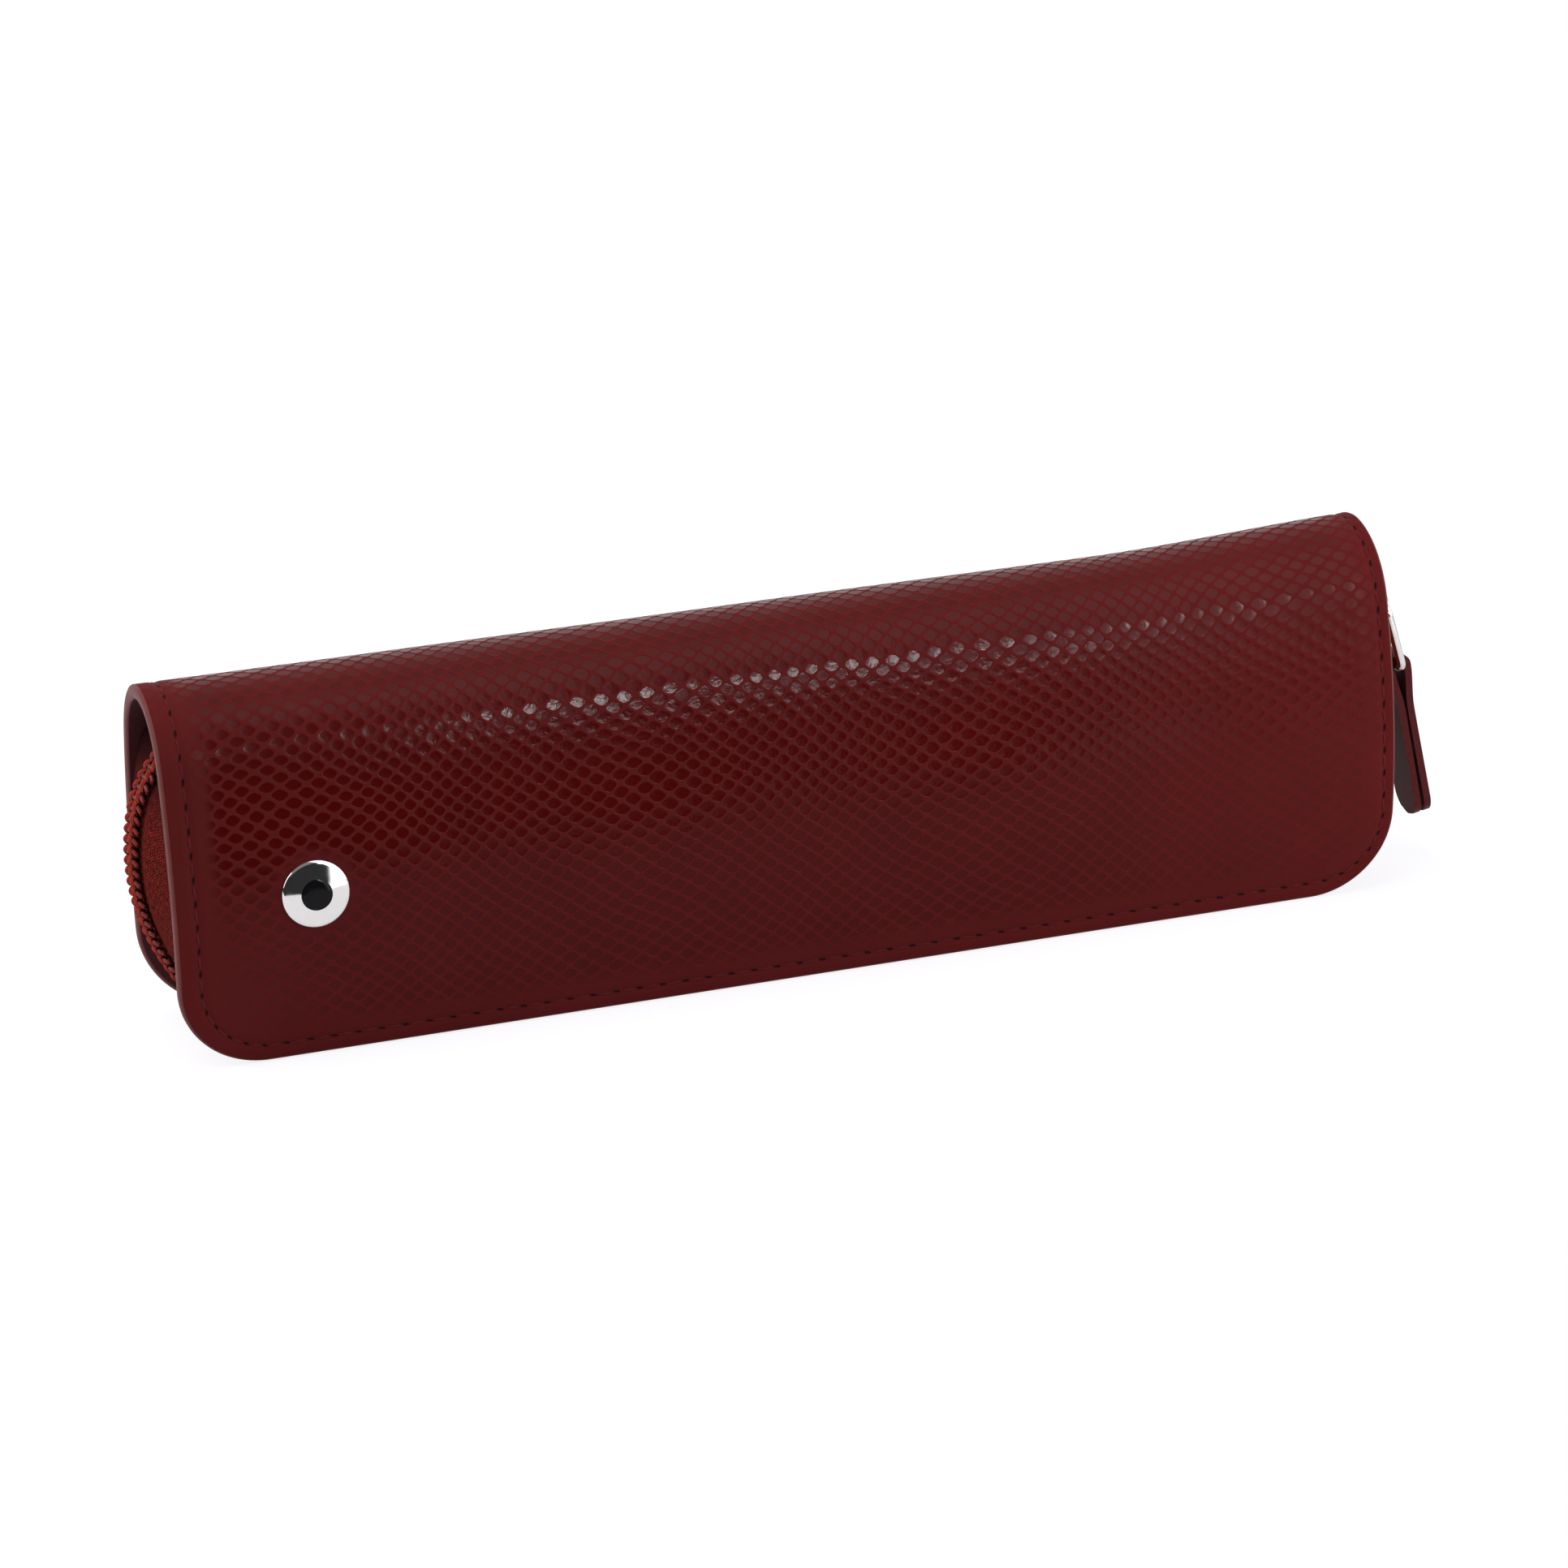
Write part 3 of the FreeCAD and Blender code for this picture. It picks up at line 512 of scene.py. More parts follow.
fibre_board, tree, shader = finish("fibre_board", Specular_IOR_Level=0.2)
fibres = noise(tree, own_place(tree), 900.0, 4.0, 0.7).outputs[0]
dress(tree, shader, tint(tree, fibres, *BOARD_BUFFS), 0.9, sums(tree, "MULTIPLY", fibres, 0.05))
for name in ("back_board", "front_board"):
    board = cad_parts[name]
    board.data.materials.clear()
    board.data.materials.append(fibre_board)

# Zip tapes. Two woven polyester tapes in brick red carry the zip. Each is folded square beside the chain,
# runs round both ends and the foot, and slants to the wall, where the rim's stitches hold it.
ARC_X, ARC_Z, ARC_RADIUS = 53.8, 24.0, 27.5
TURN_RADIUS, FOOT_Z = 8.5, 2.7
LEFT_CURL = (math.radians(12), 13.5, math.radians(58))
RIGHT_CURL = (math.radians(33.5), 4.0, math.radians(75))
TURN_DROP = ARC_Z - FOOT_Z - TURN_RADIUS
TURN_X = ARC_X + math.sqrt((ARC_RADIUS - TURN_RADIUS) ** 2 - TURN_DROP**2)
MEET = math.asin(TURN_DROP / (ARC_RADIUS - TURN_RADIUS))
TAPE, TAPE_GAP, TAPE_SINK = 0.5, 0.75, 0.15
TAPE_STEPS, RULE_TRIES = 361, 200
FOOT_RUN = 3
CHAIN_STRIP = 4.0
SEAM_INSET, SEAM_Y = 1.0, 11.0
SEAM_X = HALF_LENGTH - CORNER
TAPE_REDS = ((0.030, 0.0028, 0.0026), (0.225, 0.0170, 0.0115))
TAPE_FLUFF, TAPE_END_SHADOW = (0.25, 0.019, 0.013), (0.026, 0.004, 0.005)


def end_runs(start, radius, top):
    """Arcs of the zip's right end from its foot up, one to a row: centre, radius, first and last angle."""
    inner = ARC_RADIUS - radius
    return np.array((
        (TURN_X, FOOT_Z + TURN_RADIUS, TURN_RADIUS, -math.pi / 2, -MEET),
        (ARC_X, ARC_Z, ARC_RADIUS, -MEET, start),
        (ARC_X + inner * math.cos(start), ARC_Z + inner * math.sin(start), radius, start, top),
    ))


left_runs = end_runs(*LEFT_CURL)[::-1, [0, 1, 2, 4, 3]] * (-1, 1, 1, -1, -1) + (0, 0, 0, math.pi, math.pi)
RUNS = np.concatenate((left_runs, [(0, FOOT_Z, 0, -math.pi / 2, -math.pi / 2)], end_runs(*RIGHT_CURL)))
RUN_LENGTHS = RUNS[:, 2] * (RUNS[:, 4] - RUNS[:, 3])
RUN_LENGTHS[FOOT_RUN] = 2 * TURN_X
RUN_ENDS = np.cumsum(RUN_LENGTHS)
CHAIN_LENGTH = RUN_ENDS[-1]
SEWN = np.array((
    (-SEAM_X, 39, math.pi, 0, 0, -11),
    (-SEAM_X, 28, math.pi, 0, 0, -17),
    (-SEAM_X, CORNER, math.pi, math.pi / 2, 0, 0),
    (-SEAM_X, CORNER, 1.5 * math.pi, 0, 2 * SEAM_X, 0),
    (SEAM_X, CORNER, -math.pi / 2, math.pi / 2, 0, 0),
    (SEAM_X, CORNER, 0, 0, 0, 25),
    (SEAM_X, 36, 0, 0, 0, 3),
))


def chain(distance, y, height):
    """Point beside the zip's run: distance from its left end, y across it, and height out from the tape's face.

    The run is a curl, a long end arc, a corner arc, the straight foot, and the like on the right. The height follows
    its normal.
    """
    number = np.clip(np.searchsorted(RUN_ENDS, distance), 0, len(RUNS) - 1)
    passed = distance - (RUN_ENDS - RUN_LENGTHS)[number]
    centre_x, centre_z, radius, first, _ = np.moveaxis(RUNS[number], -1, 0)
    straight = number == FOOT_RUN
    angle = first + np.where(straight, 0, passed) / np.where(straight, 1, radius)
    x = centre_x + (radius + height) * np.cos(angle) + np.where(straight, passed - TURN_X, 0) + MIDDLE
    return np.stack(np.broadcast_arrays(x, y, centre_z + (radius + height) * np.sin(angle)), -1)


def sewn_run(distance, height):
    """X and Z of the tape's sewn edge for each distance of the chain: straight ends, corner arcs and the foot.

    A row of the table holds the start of a run's centre, the first angle and the sweep about it, and its slide.
    """
    number = np.clip(np.searchsorted(RUN_ENDS, distance), 0, len(RUNS) - 1)
    share = (distance - (RUN_ENDS - RUN_LENGTHS)[number]) / RUN_LENGTHS[number]
    centre_x, centre_z, first, sweep, slide_x, slide_z = np.moveaxis(SEWN[number], -1, 0)
    radius = CORNER - SEAM_INSET + height
    angle = first + sweep * share
    x = centre_x + slide_x * share + radius * np.cos(angle) + MIDDLE
    return x, centre_z + slide_z * share + radius * np.sin(angle)


def tape_face(height, side):
    """Grid of one face of a tape: a strip square to the chain, then straight rules towards the sewn run.

    Each rule ends where it meets the lining, found as the first of many steps along it that is past the lining.
    """
    distance = np.linspace(0, CHAIN_LENGTH, TAPE_STEPS)[:, None]
    strip = chain(distance, side * np.linspace(TAPE_GAP, CHAIN_STRIP, 7)[None], height)
    start = chain(distance, side * CHAIN_STRIP, height)
    sewn_x, sewn_z = sewn_run(distance, height)
    sewn = np.stack((sewn_x, np.full(distance.shape, side * SEAM_Y), sewn_z), -1)
    inner = wall(0.0, np.linspace(0, WALL_DOWN, 400), LINING_DEPTH[1] - TAPE_SINK, 1)
    tries = start + (sewn - start) * np.linspace(0, 1, RULE_TRIES)[None, :, None]
    past = np.abs(tries[..., 1]) >= np.interp(tries[..., 2], inner[::-1, 2], inner[::-1, 1])
    stop = np.where(past.any(1), past.argmax(1), RULE_TRIES - 1) / (RULE_TRIES - 1)
    stop = np.convolve(np.pad(stop, 2, mode="edge"), np.full(5, 0.2), "valid")
    rules = start + (sewn - start) * (stop[:, None] * np.linspace(0, 1, 9)[1:])[..., None]
    return np.concatenate((strip, rules), 1), distance


def stretched(tree, vector, scales):
    """A vector with each of its parts multiplied by its own scale."""
    return node(tree, "VectorMath", vector, scales, operation="MULTIPLY").outputs[0]


woven_tape, tree, shader = finish("woven_tape", Specular_IOR_Level=0.04, Sheen_Weight=0.03)
shader.inputs["Sheen Tint"].default_value = (0.9, 0.25, 0.15, 1.0)
grain = field(tree, "grain")
from_end, from_chain, _ = node(tree, "SeparateXYZ", grain).outputs
warp = sums(tree, "PINGPONG", sums(tree, "MULTIPLY", from_chain, 1.9), 0.5)
waver = noise(tree, grain, 0.8).outputs[0]
twill = sums(tree, "MULTIPLY_ADD", waver, 1.2, dot(tree, grain, (2.3, 1.5, 0.0)))
twill = sums(tree, "PINGPONG", twill, 0.5)
fluff = noise(tree, grain, 3.2, 4.0, 0.65).outputs[0]
streak = noise(tree, stretched(tree, grain, (1.3, 4.4, 1.0)), 1.0, 3.0).outputs[0]
shade = sums(tree, "MULTIPLY_ADD", streak, 1.1, sums(tree, "MULTIPLY_ADD", twill, 0.3, -0.30))
colour = tint(tree, step(tree, shade, 0.18, 0.52), *TAPE_REDS)
colour = tint(tree, step(tree, fluff, 0.50, 0.80), colour, TAPE_FLUFF)
# Painted shadow: within a few millimetres of the chain's left end the tape is painted dark maroon, for the shade
# inside the case there.
colour = tint(tree, step(tree, from_end, 3.0, 12.0), TAPE_END_SHADOW, colour)
height = sums(tree, "ADD", sums(tree, "MULTIPLY", twill, 0.18), sums(tree, "MULTIPLY", warp, 0.14))
dress(tree, shader, colour, 0.85, sums(tree, "ADD", height, sums(tree, "MULTIPLY", fluff, 0.16)))

for side, name in WALLS:
    upper, distance = tape_face(0.0, side)
    under, _ = tape_face(-TAPE, side)
    points, faces, _ = slab(upper, under)
    steps = np.linalg.norm(np.diff(upper, axis=1), axis=-1)
    across = np.concatenate((np.zeros(distance.shape), np.cumsum(steps, 1)), 1)
    weave = np.stack(np.broadcast_arrays(distance, across, 0.0 * across), -1).reshape(-1, 3)
    tape = made(name + "_woven_tape", points, faces, [woven_tape], {"grain": np.tile(weave, (2, 1))})
    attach(tape, name)
    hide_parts(name + "_zip_tape")

# Zip chain. On each tape a stiff nylon filament is wound into a flattened coil, dyed a dull pink. Towards the roots
# it is painted a darker red, as painted shade where the tape rises beside them. Its heads lock with those of the
# other coil half a turn on. A row of slanted red stitches over the legs sews it to the tape.
COIL_PITCH = 1.32
COIL_HEAD, COIL_ROOT = -0.45, 2.15
COIL_WIRE = 0.27
COIL_HEIGHT = (0.64, 0.34)
CHAIN_FIRST = 2.4
LONG_ARC, SLIDER_BACK, SLIDER_NOSE = 5, math.radians(7.0), 0.56
CHAIN_LAST = RUN_ENDS[LONG_ARC] - ARC_RADIUS * SLIDER_BACK - SLIDER_NOSE
COIL_PINKS = ((0.12, 0.036, 0.036), (0.22, 0.078, 0.076))
ROOT_SHADE_RED, ROOT_SHADE_RUN = (0.20, 0.022, 0.018), (0.0012, 0.0018)
BIND_RADIUS, BIND_Y, BIND_HEIGHT = 0.35, 1.20, 1.20
BIND_REDS = ((0.24, 0.018, 0.012), (0.58, 0.060, 0.036))

coil_nylon, tree, shader = finish("coil_nylon", Specular_IOR_Level=0.25)
place = own_place(tree)
dye = noise(tree, place, 320.0, 2.0).outputs[0]
colour = tint(tree, dye, *COIL_PINKS)
off_chain = sums(tree, "ABSOLUTE", node(tree, "SeparateXYZ", place).outputs[1])
# Painted shade: towards the roots the coil turns a darker red.
colour = tint(tree, step(tree, off_chain, *ROOT_SHADE_RUN), colour, ROOT_SHADE_RED)
dress(tree, shader, colour, 0.32, sums(tree, "MULTIPLY", noise(tree, place, 4000.0).outputs[0], 0.015))

zip_thread, tree, shader = finish("zip_thread", Specular_IOR_Level=0.1, Sheen_Weight=0.1)
shader.inputs["Sheen Tint"].default_value = (1.0, 0.45, 0.35, 1.0)
grain = field(tree, "grain")
plies = sums(tree, "PINGPONG", dot(tree, grain, (3.4, 0.75, 0.0)), 0.5)
colour = tint(tree, plies, *BIND_REDS)
dress(tree, shader, colour, 0.7, sums(tree, "MULTIPLY", plies, 0.1))

for side, name in WALLS:
    shift = COIL_PITCH / 2 if side > 0 else 0.0
    many = int((CHAIN_LAST - CHAIN_FIRST) / COIL_PITCH)
    turn = np.linspace(0, math.tau * many, 10 * many + 1)
    distance = CHAIN_FIRST + shift + turn * COIL_PITCH / math.tau
    lean_over = 0.12 * COIL_PITCH * np.sin(2 * turn)
    reach = (COIL_ROOT - COIL_HEAD) / 2
    middle_y = (COIL_ROOT + COIL_HEAD) / 2
    y = side * (middle_y - reach * np.cos(turn))
    up = COIL_HEIGHT[0] + COIL_HEIGHT[1] * np.sin(turn)
    centre = chain(distance + lean_over, y, up)
    core = chain(distance, side * middle_y, COIL_HEIGHT[0])
    along = np.gradient(centre, axis=0)
    along /= np.linalg.norm(along, axis=1, keepdims=True)
    out = (centre - core) - along * np.sum((centre - core) * along, 1, keepdims=True)
    out /= np.linalg.norm(out, axis=1, keepdims=True)
    beside = np.cross(along, out)
    ring = circle(6)[None, :, None]
    wire = centre[:, None] + COIL_WIRE * (out[:, None] * np.cos(ring) + beside[:, None] * np.sin(ring))
    coil = made(name + "_zip_coil", wire, tubes(1, len(turn), 6), [coil_nylon])
    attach(coil, name)
    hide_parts(name + "_zip_teeth", name + "_zip_teeth_slider_run")

    centres = CHAIN_FIRST + shift + (np.arange(many) + 0.25) * COIL_PITCH
    share = np.linspace(-1, 1, 7)[None, :, None]
    ring = circle(6)[None, None, :]
    radius = BIND_RADIUS * np.sqrt(1 - 0.85 * share**2)
    distance = centres[:, None, None] + 0.60 * COIL_PITCH * share
    y = side * (BIND_Y + 0.26 * share + 1.25 * radius * np.cos(ring))
    up = BIND_HEIGHT - 0.30 * share**2 + radius * np.sin(ring)
    rows = chain(*np.broadcast_arrays(distance, y, up))
    twist = np.stack(np.broadcast_arrays(distance, ring, 0.0 * share), -1).reshape(-1, 3)
    sewn = made(name + "_zip_thread", rows, tubes(*rows.shape[:3]), [zip_thread], {"grain": twist})
    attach(sewn, name)

# Slider, stops and bridge. The slider is a die-cast body of two plates with a bridge on top that holds the pull.
# It and the two crimped end stops of each tape are polished and nickel plated.
NICKELS = ((0.62, 0.60, 0.58), (0.80, 0.79, 0.78))
CASTING_ROUND, ARCH_ROUND, STOP_ROUND = 0.16, 0.22, 0.3
plated_metal, tree, shader = finish("plated_metal", Metallic=1.0)
place = own_place(tree)
wear = noise(tree, place, 260.0, 4.0, 0.6).outputs[0]
scratch = noise(tree, stretched(tree, place, (1.0, 1.0, 9.0)), 900.0).outputs[0]
rough = sums(tree, "MULTIPLY_ADD", scratch, 0.16, 0.06)
dress(tree, shader, tint(tree, wear, *NICKELS), rough, sums(tree, "MULTIPLY", scratch, 0.004))


def soften(thing, width, angle):
    """Rounds the edges that turn by more than an angle, by a width in millimetres."""
    bevel = thing.modifiers.new("rounds", "BEVEL")
    bevel.width = width * MM
    bevel.segments = 3
    bevel.limit_method = "ANGLE"
    bevel.angle_limit = math.radians(angle)


def rounded(name, node_name, width, body, surface):
    """Copy of a CAD node that stands for it: loose triangles merged, and small rounds on the sharp edges."""
    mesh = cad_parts[node_name].data.copy()
    shell = bmesh.new()
    shell.from_mesh(mesh)
    bmesh.ops.remove_doubles(shell, verts=shell.verts, dist=1e-6)
    bmesh.ops.dissolve_limit(shell, angle_limit=math.radians(1), verts=shell.verts, edges=shell.edges)
    shell.to_mesh(mesh)
    shell.free()
    mesh.materials.clear()
    mesh.materials.append(surface)
    copy = bpy.data.objects.new(name, mesh)
    scene.collection.objects.link(copy)
    soften(copy, width, 30)
    mesh.shade_smooth()
    mesh.set_sharp_from_angle(angle=math.radians(45))
    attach(copy, body)
    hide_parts(node_name)


rounded("slider_casting", "slider_body", CASTING_ROUND, "slider", plated_metal)
rounded("slider_arch", "slider_bridge", ARCH_ROUND, "slider", plated_metal)
rounded("back_crimped_stops", "back_zip_stops", STOP_ROUND, "back", plated_metal)
rounded("front_crimped_stops", "front_zip_stops", STOP_ROUND, "front", plated_metal)

# Pull link. A round wire, bent square and soldered shut, hangs from the slider's bridge and carries the strap.
# It is nickel plated, as the slider is.
LINK_TOP, LINK_BASE = np.array((82.567, 35.604)), np.array((84.9, 27.0))
LINK_HALF = 4.0
LINK_BEND = 1.15
LINK_WIRE, LINK_SIDES = 0.6, 16
hang = LINK_BASE - LINK_TOP
drop = np.linalg.norm(hang)
hang = hang / drop
quarter = np.linspace(0, math.pi / 2, 9)
bends = [(LINK_HALF - LINK_BEND, LINK_BEND, -math.pi / 2), (LINK_HALF - LINK_BEND, drop - LINK_BEND, 0.0)]
bends += [(LINK_BEND - LINK_HALF, drop - LINK_BEND, math.pi / 2), (LINK_BEND - LINK_HALF, LINK_BEND, math.pi)]
across = np.concatenate([y + LINK_BEND * np.cos(quarter + turn) for y, _, turn in bends])
below = np.concatenate([v + LINK_BEND * np.sin(quarter + turn) for _, v, turn in bends])
facing = np.concatenate([quarter + turn for _, _, turn in bends])
ring = circle(LINK_SIDES)[None, :]
reach = LINK_WIRE * np.cos(ring)
side_y = across[:, None] + reach * np.cos(facing)[:, None]
down = below[:, None] + reach * np.sin(facing)[:, None]
off = LINK_WIRE * np.sin(ring) + 0 * down
x = LINK_TOP[0] + MIDDLE + down * hang[0] - off * hang[1]
z = LINK_TOP[1] + down * hang[1] + off * hang[0]
points = np.stack((x, side_y, z), -1)
numbers = quads(len(across) + 1, LINK_SIDES, True) % x.size
link = made("wire_link", points, numbers, [plated_metal])
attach(link, "link")
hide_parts("pull_link")

# Pull strap. A strip of smooth burgundy leather is folded over the link's lower wire, its two leaves hang down
# a little apart, and its cut edges are painted like the rim.
STRAP_HALF, STRAP_CORNER, STRAP_LEATHER = 3.0, 2.7, 0.95
STRAP_LOOP, STRAP_WAIST, STRAP_END = 0.72, (0.16, 6.0), (0.24, 21.7)
STRAP_LEAN = math.radians(10.5)
STRAP_ROUND = 0.28
STRAP_REDS = ((0.070, 0.007, 0.009), (0.115, 0.014, 0.016))
STRAP_EDGE_REDS = ((0.060, 0.0065, 0.0075), (0.096, 0.012, 0.013))
strap_leather, tree, shader = finish("strap_leather", Specular_IOR_Level=0.05)
place = own_place(tree)
pores = noise(tree, place, 3500.0, 3.0, 0.6).outputs[0]
patches = noise(tree, place, 160.0, 2.0).outputs[0]
colour = tint(tree, patches, *STRAP_REDS)
dress(tree, shader, colour, sums(tree, "MULTIPLY_ADD", pores, 0.2, 0.36), sums(tree, "MULTIPLY", pores, 0.02))


def leaf_line(thickness):
    """One face of the folded strip, from the tip of one leaf up over the wire and down to the other tip, in plan.

    Below the wire a leaf draws in to its waist by a smooth step, and then spreads evenly to its tip.
    """
    fall = np.linspace(0, STRAP_END[1], 41)
    loop, (waist, waist_fall), end = STRAP_LOOP, STRAP_WAIST, STRAP_END[0]
    gap = loop + (waist - loop) * ease(fall, 0, waist_fall) + (end - waist) * ease(fall, waist_fall, STRAP_END[1])
    over = np.linspace(math.pi, 0, 13)[1:-1]
    left = np.stack((-(gap + thickness)[::-1], -fall[::-1]), -1)
    top = (loop + thickness) * np.stack((np.cos(over), np.sin(over)), -1)
    return np.concatenate((left, top, left[::-1] * (-1, 1)))


middle = leaf_line(STRAP_LEATHER / 2)
tip = STRAP_END[1] + middle[:, 1]
into_corner = np.clip(STRAP_CORNER - tip, 0, None)
half = STRAP_HALF - STRAP_CORNER + np.sqrt(np.clip(STRAP_CORNER**2 - into_corner**2, 0, None))
y = half[:, None] * np.sin(np.linspace(-math.pi / 2, math.pi / 2, 21))
faces_of_strap = []
for thickness in (STRAP_LEATHER, 0.0):
    line = leaf_line(thickness)
    x = line[:, 0] * math.cos(STRAP_LEAN) - line[:, 1] * math.sin(STRAP_LEAN) + LINK_BASE[0] + MIDDLE
    z = line[:, 0] * math.sin(STRAP_LEAN) + line[:, 1] * math.cos(STRAP_LEAN) + LINK_BASE[1]
    faces_of_strap.append(np.stack(np.broadcast_arrays(x[:, None], y, z[:, None]), -1))
points, faces, edge_count = slab(*faces_of_strap)
edged = np.arange(len(faces)) >= len(faces) - edge_count
strap_edge, tree, shader = finish("strap_edge", Specular_IOR_Level=0.1)
drag = noise(tree, own_place(tree), 1500.0, 3.0, 0.6).outputs[0]
colour = tint(tree, drag, *STRAP_EDGE_REDS)
dress(tree, shader, colour, 0.45, sums(tree, "MULTIPLY", drag, 0.05))
strap = made("folded_strap", points, faces, [strap_leather, strap_edge], second=edged)
soften(strap, STRAP_ROUND, 50)
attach(strap, "strap")
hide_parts("pull_strap")

# Emblem. A turned disc of polished steel with a domed face and a bevelled rim is riveted through the front wall.
# Its middle holds a plain button of black enamel, and a plated washer behind the wall holds its stud.
EMBLEM_FACE, EMBLEM_BALL = -13.4, 23.1
EMBLEM_TILT = math.radians(3.5)
EMBLEM_SEAT, BUTTON_BACK = -12.95, -12.9
EMBLEM_BEVEL = 3.86
EMBLEM_SIDES = 96
STEELS = ((0.80, 0.78, 0.77), (0.87, 0.86, 0.86))
ENAMELS = ((0.004, 0.004, 0.005), (0.009, 0.009, 0.011))
emblem_steel, tree, shader = finish("emblem_steel", Metallic=1.0)
place = own_place(tree)
wear = noise(tree, place, 900.0, 4.0, 0.6).outputs[0]
rough = sums(tree, "MULTIPLY_ADD", wear, 0.06, 0.03)
dress(tree, shader, tint(tree, wear, *STEELS), rough, sums(tree, "MULTIPLY", wear, 0.002))
black_enamel, tree, shader = finish("black_enamel", Specular_IOR_Level=0.12)
cloud = noise(tree, own_place(tree), 700.0, 2.0).outputs[0]
rough = sums(tree, "MULTIPLY_ADD", cloud, 0.06, 0.05)
dress(tree, shader, tint(tree, cloud, *ENAMELS), rough, sums(tree, "MULTIPLY", cloud, 0.002))


def turned(name, radii, depths, surface):
    """Solid of revolution: a profile of radius and y, carried round in equal steps, then tipped as the wall is."""
    around = circle(EMBLEM_SIDES)[None, :]
    radii, depths = np.array(radii)[:, None], np.array(depths)[:, None]
    out, up = depths - EMBLEM_FACE, radii * np.sin(around)
    y = EMBLEM_FACE + out * math.cos(EMBLEM_TILT) + up * math.sin(EMBLEM_TILT)
    z = EMBLEM[1] + up * math.cos(EMBLEM_TILT) - out * math.sin(EMBLEM_TILT)
    points = np.stack((EMBLEM[0] + MIDDLE + radii * np.cos(around), y, z), -1)
    disc = made(name, points, tubes(1, len(radii), EMBLEM_SIDES), [surface], sharp=30)
    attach(disc, "front")
    return disc


radius = np.array((1.94, 2.3, 2.8, 3.3, 3.7, EMBLEM_BEVEL, 3.95, 4.05, 4.15, 4.22, 4.25, 4.25, 3.4))
face = EMBLEM_FACE + EMBLEM_BALL - np.sqrt(EMBLEM_BALL**2 - np.minimum(radius, EMBLEM_BEVEL) ** 2)
bevel_drop = np.array((0, 0, 0, 0, 0, 0, 0.03, 0.09, 0.18, 0.28, 0.4, 0.75, 0.78))
depths = [EMBLEM_SEAT, EMBLEM_SEAT, *(face + bevel_drop)]
disc = turned("emblem_turned_disc", [0.3, 1.90, *radius], depths, emblem_steel)
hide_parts("emblem_disc")
button_radius = np.array((0.05, 0.5, 1.0, 1.35, 1.62, 1.78, 1.87, 1.91))
button_face = EMBLEM_FACE - 0.02 + 0.10 * (button_radius / 2) ** 4 + 0.08 * (button_radius / 2) ** 16
button = turned("emblem_button", [*button_radius, 1.91], [*button_face, BUTTON_BACK], black_enamel)
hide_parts("emblem_inlay")
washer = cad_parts["emblem_washer"]
washer.data.materials.clear()
washer.data.materials.append(plated_metal)

# Inner loops. A strip of lining leather is sewn to the back wall along three lines, and stands out between them
# as two round loops. Its cut edges are painted like the rim.
LOOP_HALF, LOOP_LEATHER = 14.0, 0.85
LOOP_CORNER, LOOP_FRONT = 5.4, -3.5
LOOP_TUNNELS = ((8.0, 21.55), (22.45, 36.0))
LOOP_FEET = ((5.6, 7.6), (36.4, 38.4))


def loop_line():
    """Middle line of the strip in y and z: a foot, a tunnel with two round corners, a second tunnel and a foot."""
    lining_face = wall(0.0, np.linspace(0, WALL_DOWN, 400), LINING_DEPTH[1] + LOOP_LEATHER / 2, 1)

    def on_lining(z):
        """Y of the lining's face at a height, read along its section."""
        return np.interp(z, lining_face[::-1, 2], lining_face[::-1, 1])

    turn = np.linspace(0, math.pi / 2, 10)
    lower_turn = LOOP_CORNER * np.stack((-np.sin(turn), -np.cos(turn)), -1)
    upper_turn = LOOP_CORNER * np.stack((-np.cos(turn), np.sin(turn)), -1)
    leg_end = LOOP_FRONT + LOOP_CORNER
    parts = []
    for low, high in LOOP_TUNNELS:
        lower = (leg_end, low + LOOP_CORNER) + lower_turn
        upper = (leg_end, high - LOOP_CORNER) + upper_turn
        legs = [np.stack((np.linspace(on_lining(z), leg_end, 8), np.full(8, z)), -1) for z in (low, high)]
        parts += [legs[0][:-1], lower, upper, legs[1][-2::-1]]
    feet = [np.stack((on_lining(z), z), -1) for z in (np.linspace(*ends, 4) for ends in LOOP_FEET)]
    return np.concatenate((feet[0], *parts, feet[1]))


line = loop_line()
way = np.gradient(line, axis=0)
way /= np.linalg.norm(way, axis=1, keepdims=True)
normal = np.stack((-way[:, 1], way[:, 0]), -1)
x = MIDDLE + np.linspace(-LOOP_HALF, LOOP_HALF, 29)[None, :]
sides_of_loop = []
for sign in (1, -1):
    shifted = line + sign * normal * LOOP_LEATHER / 2
    sides_of_loop.append(np.stack(np.broadcast_arrays(x, shifted[:, :1], shifted[:, 1:]), -1))
points, faces, edge_count = slab(*sides_of_loop)
distance = np.concatenate(([0], np.cumsum(np.linalg.norm(np.diff(line, axis=0), axis=1))))
grain = np.stack(np.broadcast_arrays(x, distance[:, None], 0.0), -1).reshape(-1, 3)
edged = np.arange(len(faces)) >= len(faces) - edge_count
marks = {"grain": np.tile(grain, (2, 1))}
loops = made("pen_loop_strip", points, faces, [lining_leather, edge_paint], marks, edged)
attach(loops, "back")
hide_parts("pen_loop_band")

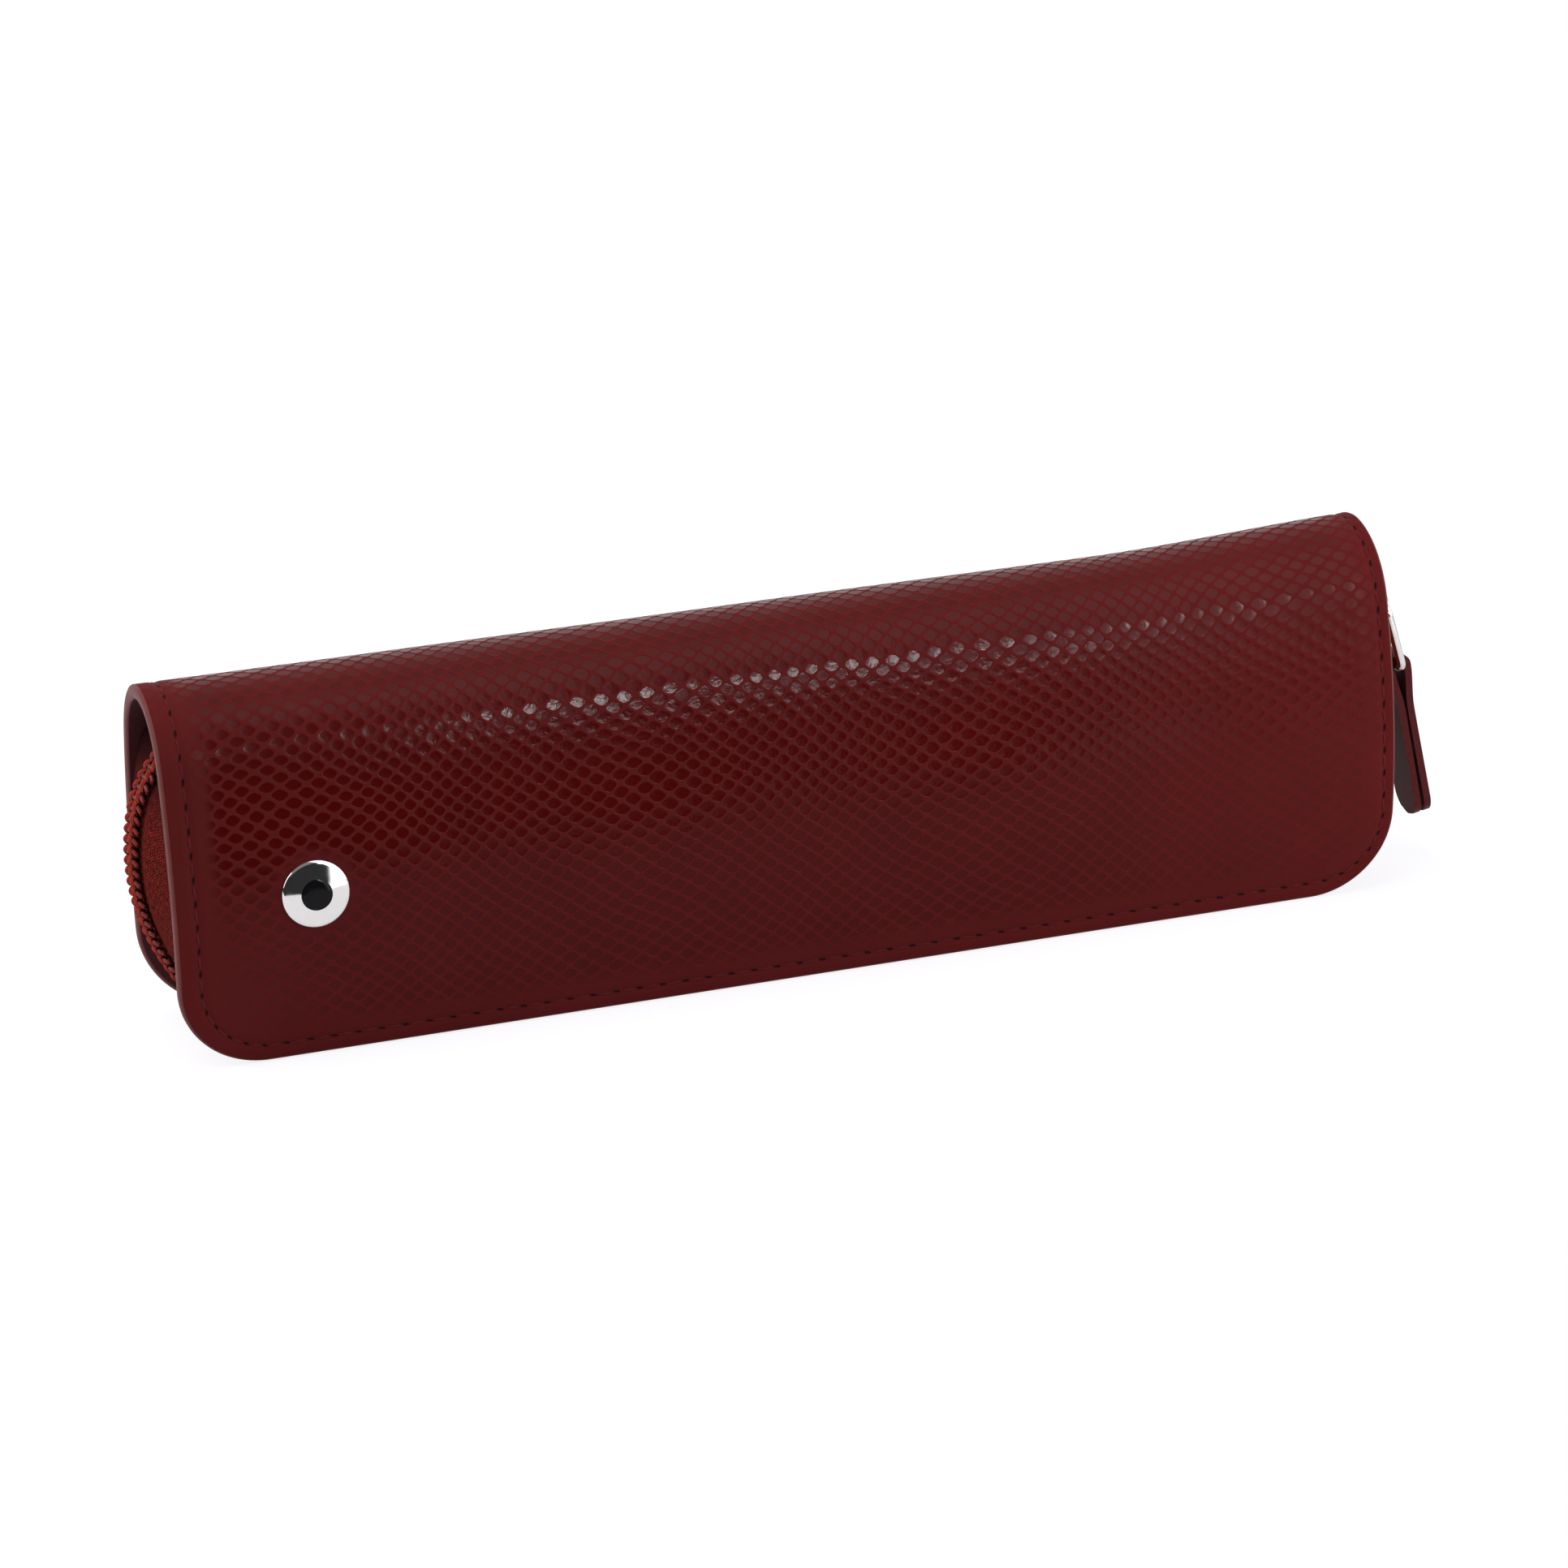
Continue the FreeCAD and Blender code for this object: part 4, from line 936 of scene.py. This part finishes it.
# Floor and light. The case stands near the front edge of a white paper sweep, in a white tent that is bright on the
# right and dark towards the lens. A soft box hangs above it, two boxes light its ends, and two strip lamps far to the
# right of the lens draw the sparkle on the spine. Places are in metres.
SWEEP = ((-3, -0.118, 0), (0.10, -0.118, 0), (1.26, -3, 0), (3, -3, 0), (3, 3, 0), (-3, 3, 0))
PAPER_LIT, PAPER_SEEN, PAPER_GLOW = (0.72, 0.72, 0.73), (0.24, 0.24, 0.24), (0.84, 0.832, 0.85, 1.0)
PAPER_MIRRORED = 0.3
LENS_WAY, RIGHT_WAY = (-0.35, -0.93, 0.1), (0.932, 0.362, 0.0)
TENT_LIT, ROOF_MIRRORED, TENT_DARK = 0.45, 0.22, 0.03
RIGHT_MIRRORED = (2.5, 1.0)  # at its front and at its back
sweep = bpy.data.meshes.new("white_sweep")
sweep.from_pydata(SWEEP, [], [tuple(range(len(SWEEP)))])
paper = bpy.data.materials.new("white_paper")
paper.use_nodes = True
tree = paper.node_tree
tree.nodes.clear()
seen = node(tree, "LightPath")
mirrored = sums(tree, "MAXIMUM", seen.outputs["Is Glossy Ray"], seen.outputs["Is Transmission Ray"])
shown = sums(tree, "MULTIPLY_ADD", mirrored, PAPER_MIRRORED, seen.outputs["Is Camera Ray"])
plain = node(tree, "BsdfDiffuse", tint(tree, shown, PAPER_LIT, PAPER_SEEN)).outputs[0]
glow = node(tree, "Emission", PAPER_GLOW, shown).outputs[0]
node(tree, "OutputMaterial", node(tree, "AddShader", glow, plain).outputs[0])
sweep.materials.append(paper)
floor = bpy.data.objects.new("white_sweep", sweep)
scene.collection.objects.link(floor)

world = bpy.data.worlds.new("white_tent")
scene.world = world
world.use_nodes = True
tree = world.node_tree
tree.nodes.clear()
heading = node(tree, "TexCoord").outputs["Generated"]
_, to_back, rise = node(tree, "SeparateXYZ", heading).outputs
behind = step(tree, dot(tree, heading, LENS_WAY), 0.15, 0.45, 1.0, 0.0)
roof = sums(tree, "MAXIMUM", behind, step(tree, rise, 0.44, 0.56))
right = step(tree, dot(tree, heading, RIGHT_WAY), -0.035, 0.045)
plain_level = sums(tree, "MULTIPLY", sums(tree, "MAXIMUM", roof, right), TENT_LIT)
box_level = step(tree, to_back, -0.3, 0.3, *RIGHT_MIRRORED)
roof_level = sums(tree, "MULTIPLY", roof, ROOF_MIRRORED)
mirror_level = sums(tree, "MAXIMUM", roof_level, sums(tree, "MULTIPLY", right, box_level))
seen = node(tree, "LightPath")
mirrored = sums(tree, "MAXIMUM", seen.outputs["Is Glossy Ray"], seen.outputs["Is Transmission Ray"])
level = sums(tree, "MULTIPLY_ADD", mirrored, sums(tree, "SUBTRACT", mirror_level, plain_level), plain_level)
level = sums(tree, "MAXIMUM", sums(tree, "MAXIMUM", level, TENT_DARK), seen.outputs["Is Camera Ray"])
tent = node(tree, "Background", (1.0, 1.0, 1.0, 1.0), level).outputs[0]
node(tree, "OutputWorld", tent)


def lamp(name, place, size, watts, aim=(0.0, 0.0, 0.03)):
    """Flat rectangular lamp at a place, turned about Z to face its aim and then tipped about X down to it."""
    light = bpy.data.lights.new(name, "AREA")
    light.shape = "RECTANGLE"
    light.size, light.size_y = size
    light.energy = watts
    holder = bpy.data.objects.new(name, light)
    way = np.array(aim) - np.array(place)
    turn = Matrix.Rotation(math.atan2(way[0], -way[1]) + math.pi, 4, "Z")
    tip = Matrix.Rotation(math.atan2(math.hypot(way[0], way[1]), -way[2]), 4, "X")
    holder.matrix_world = Matrix.Translation(place) @ turn @ tip
    scene.collection.objects.link(holder)
    return holder


lamp("overhead_box", (-0.22, 0.02, 0.90), (1.0, 0.8), 5.35).visible_glossy = False
lamp("sparkle_lamp", (0.276, -0.843, 0.498), (0.11, 0.035), 1.75).visible_diffuse = False
lamp("second_sparkle", (0.276, -0.843, 0.250), (0.15, 0.035), 0.80).visible_diffuse = False
lamp("right_box", (0.24, -0.19, 0.09), (0.16, 0.14), 0.40, (0.08, 0.0, 0.02)).visible_glossy = False
lamp("left_box", (-0.45, 0.06, 0.22), (0.30, 0.30), 0.80, (-0.08, 0.0, 0.025))
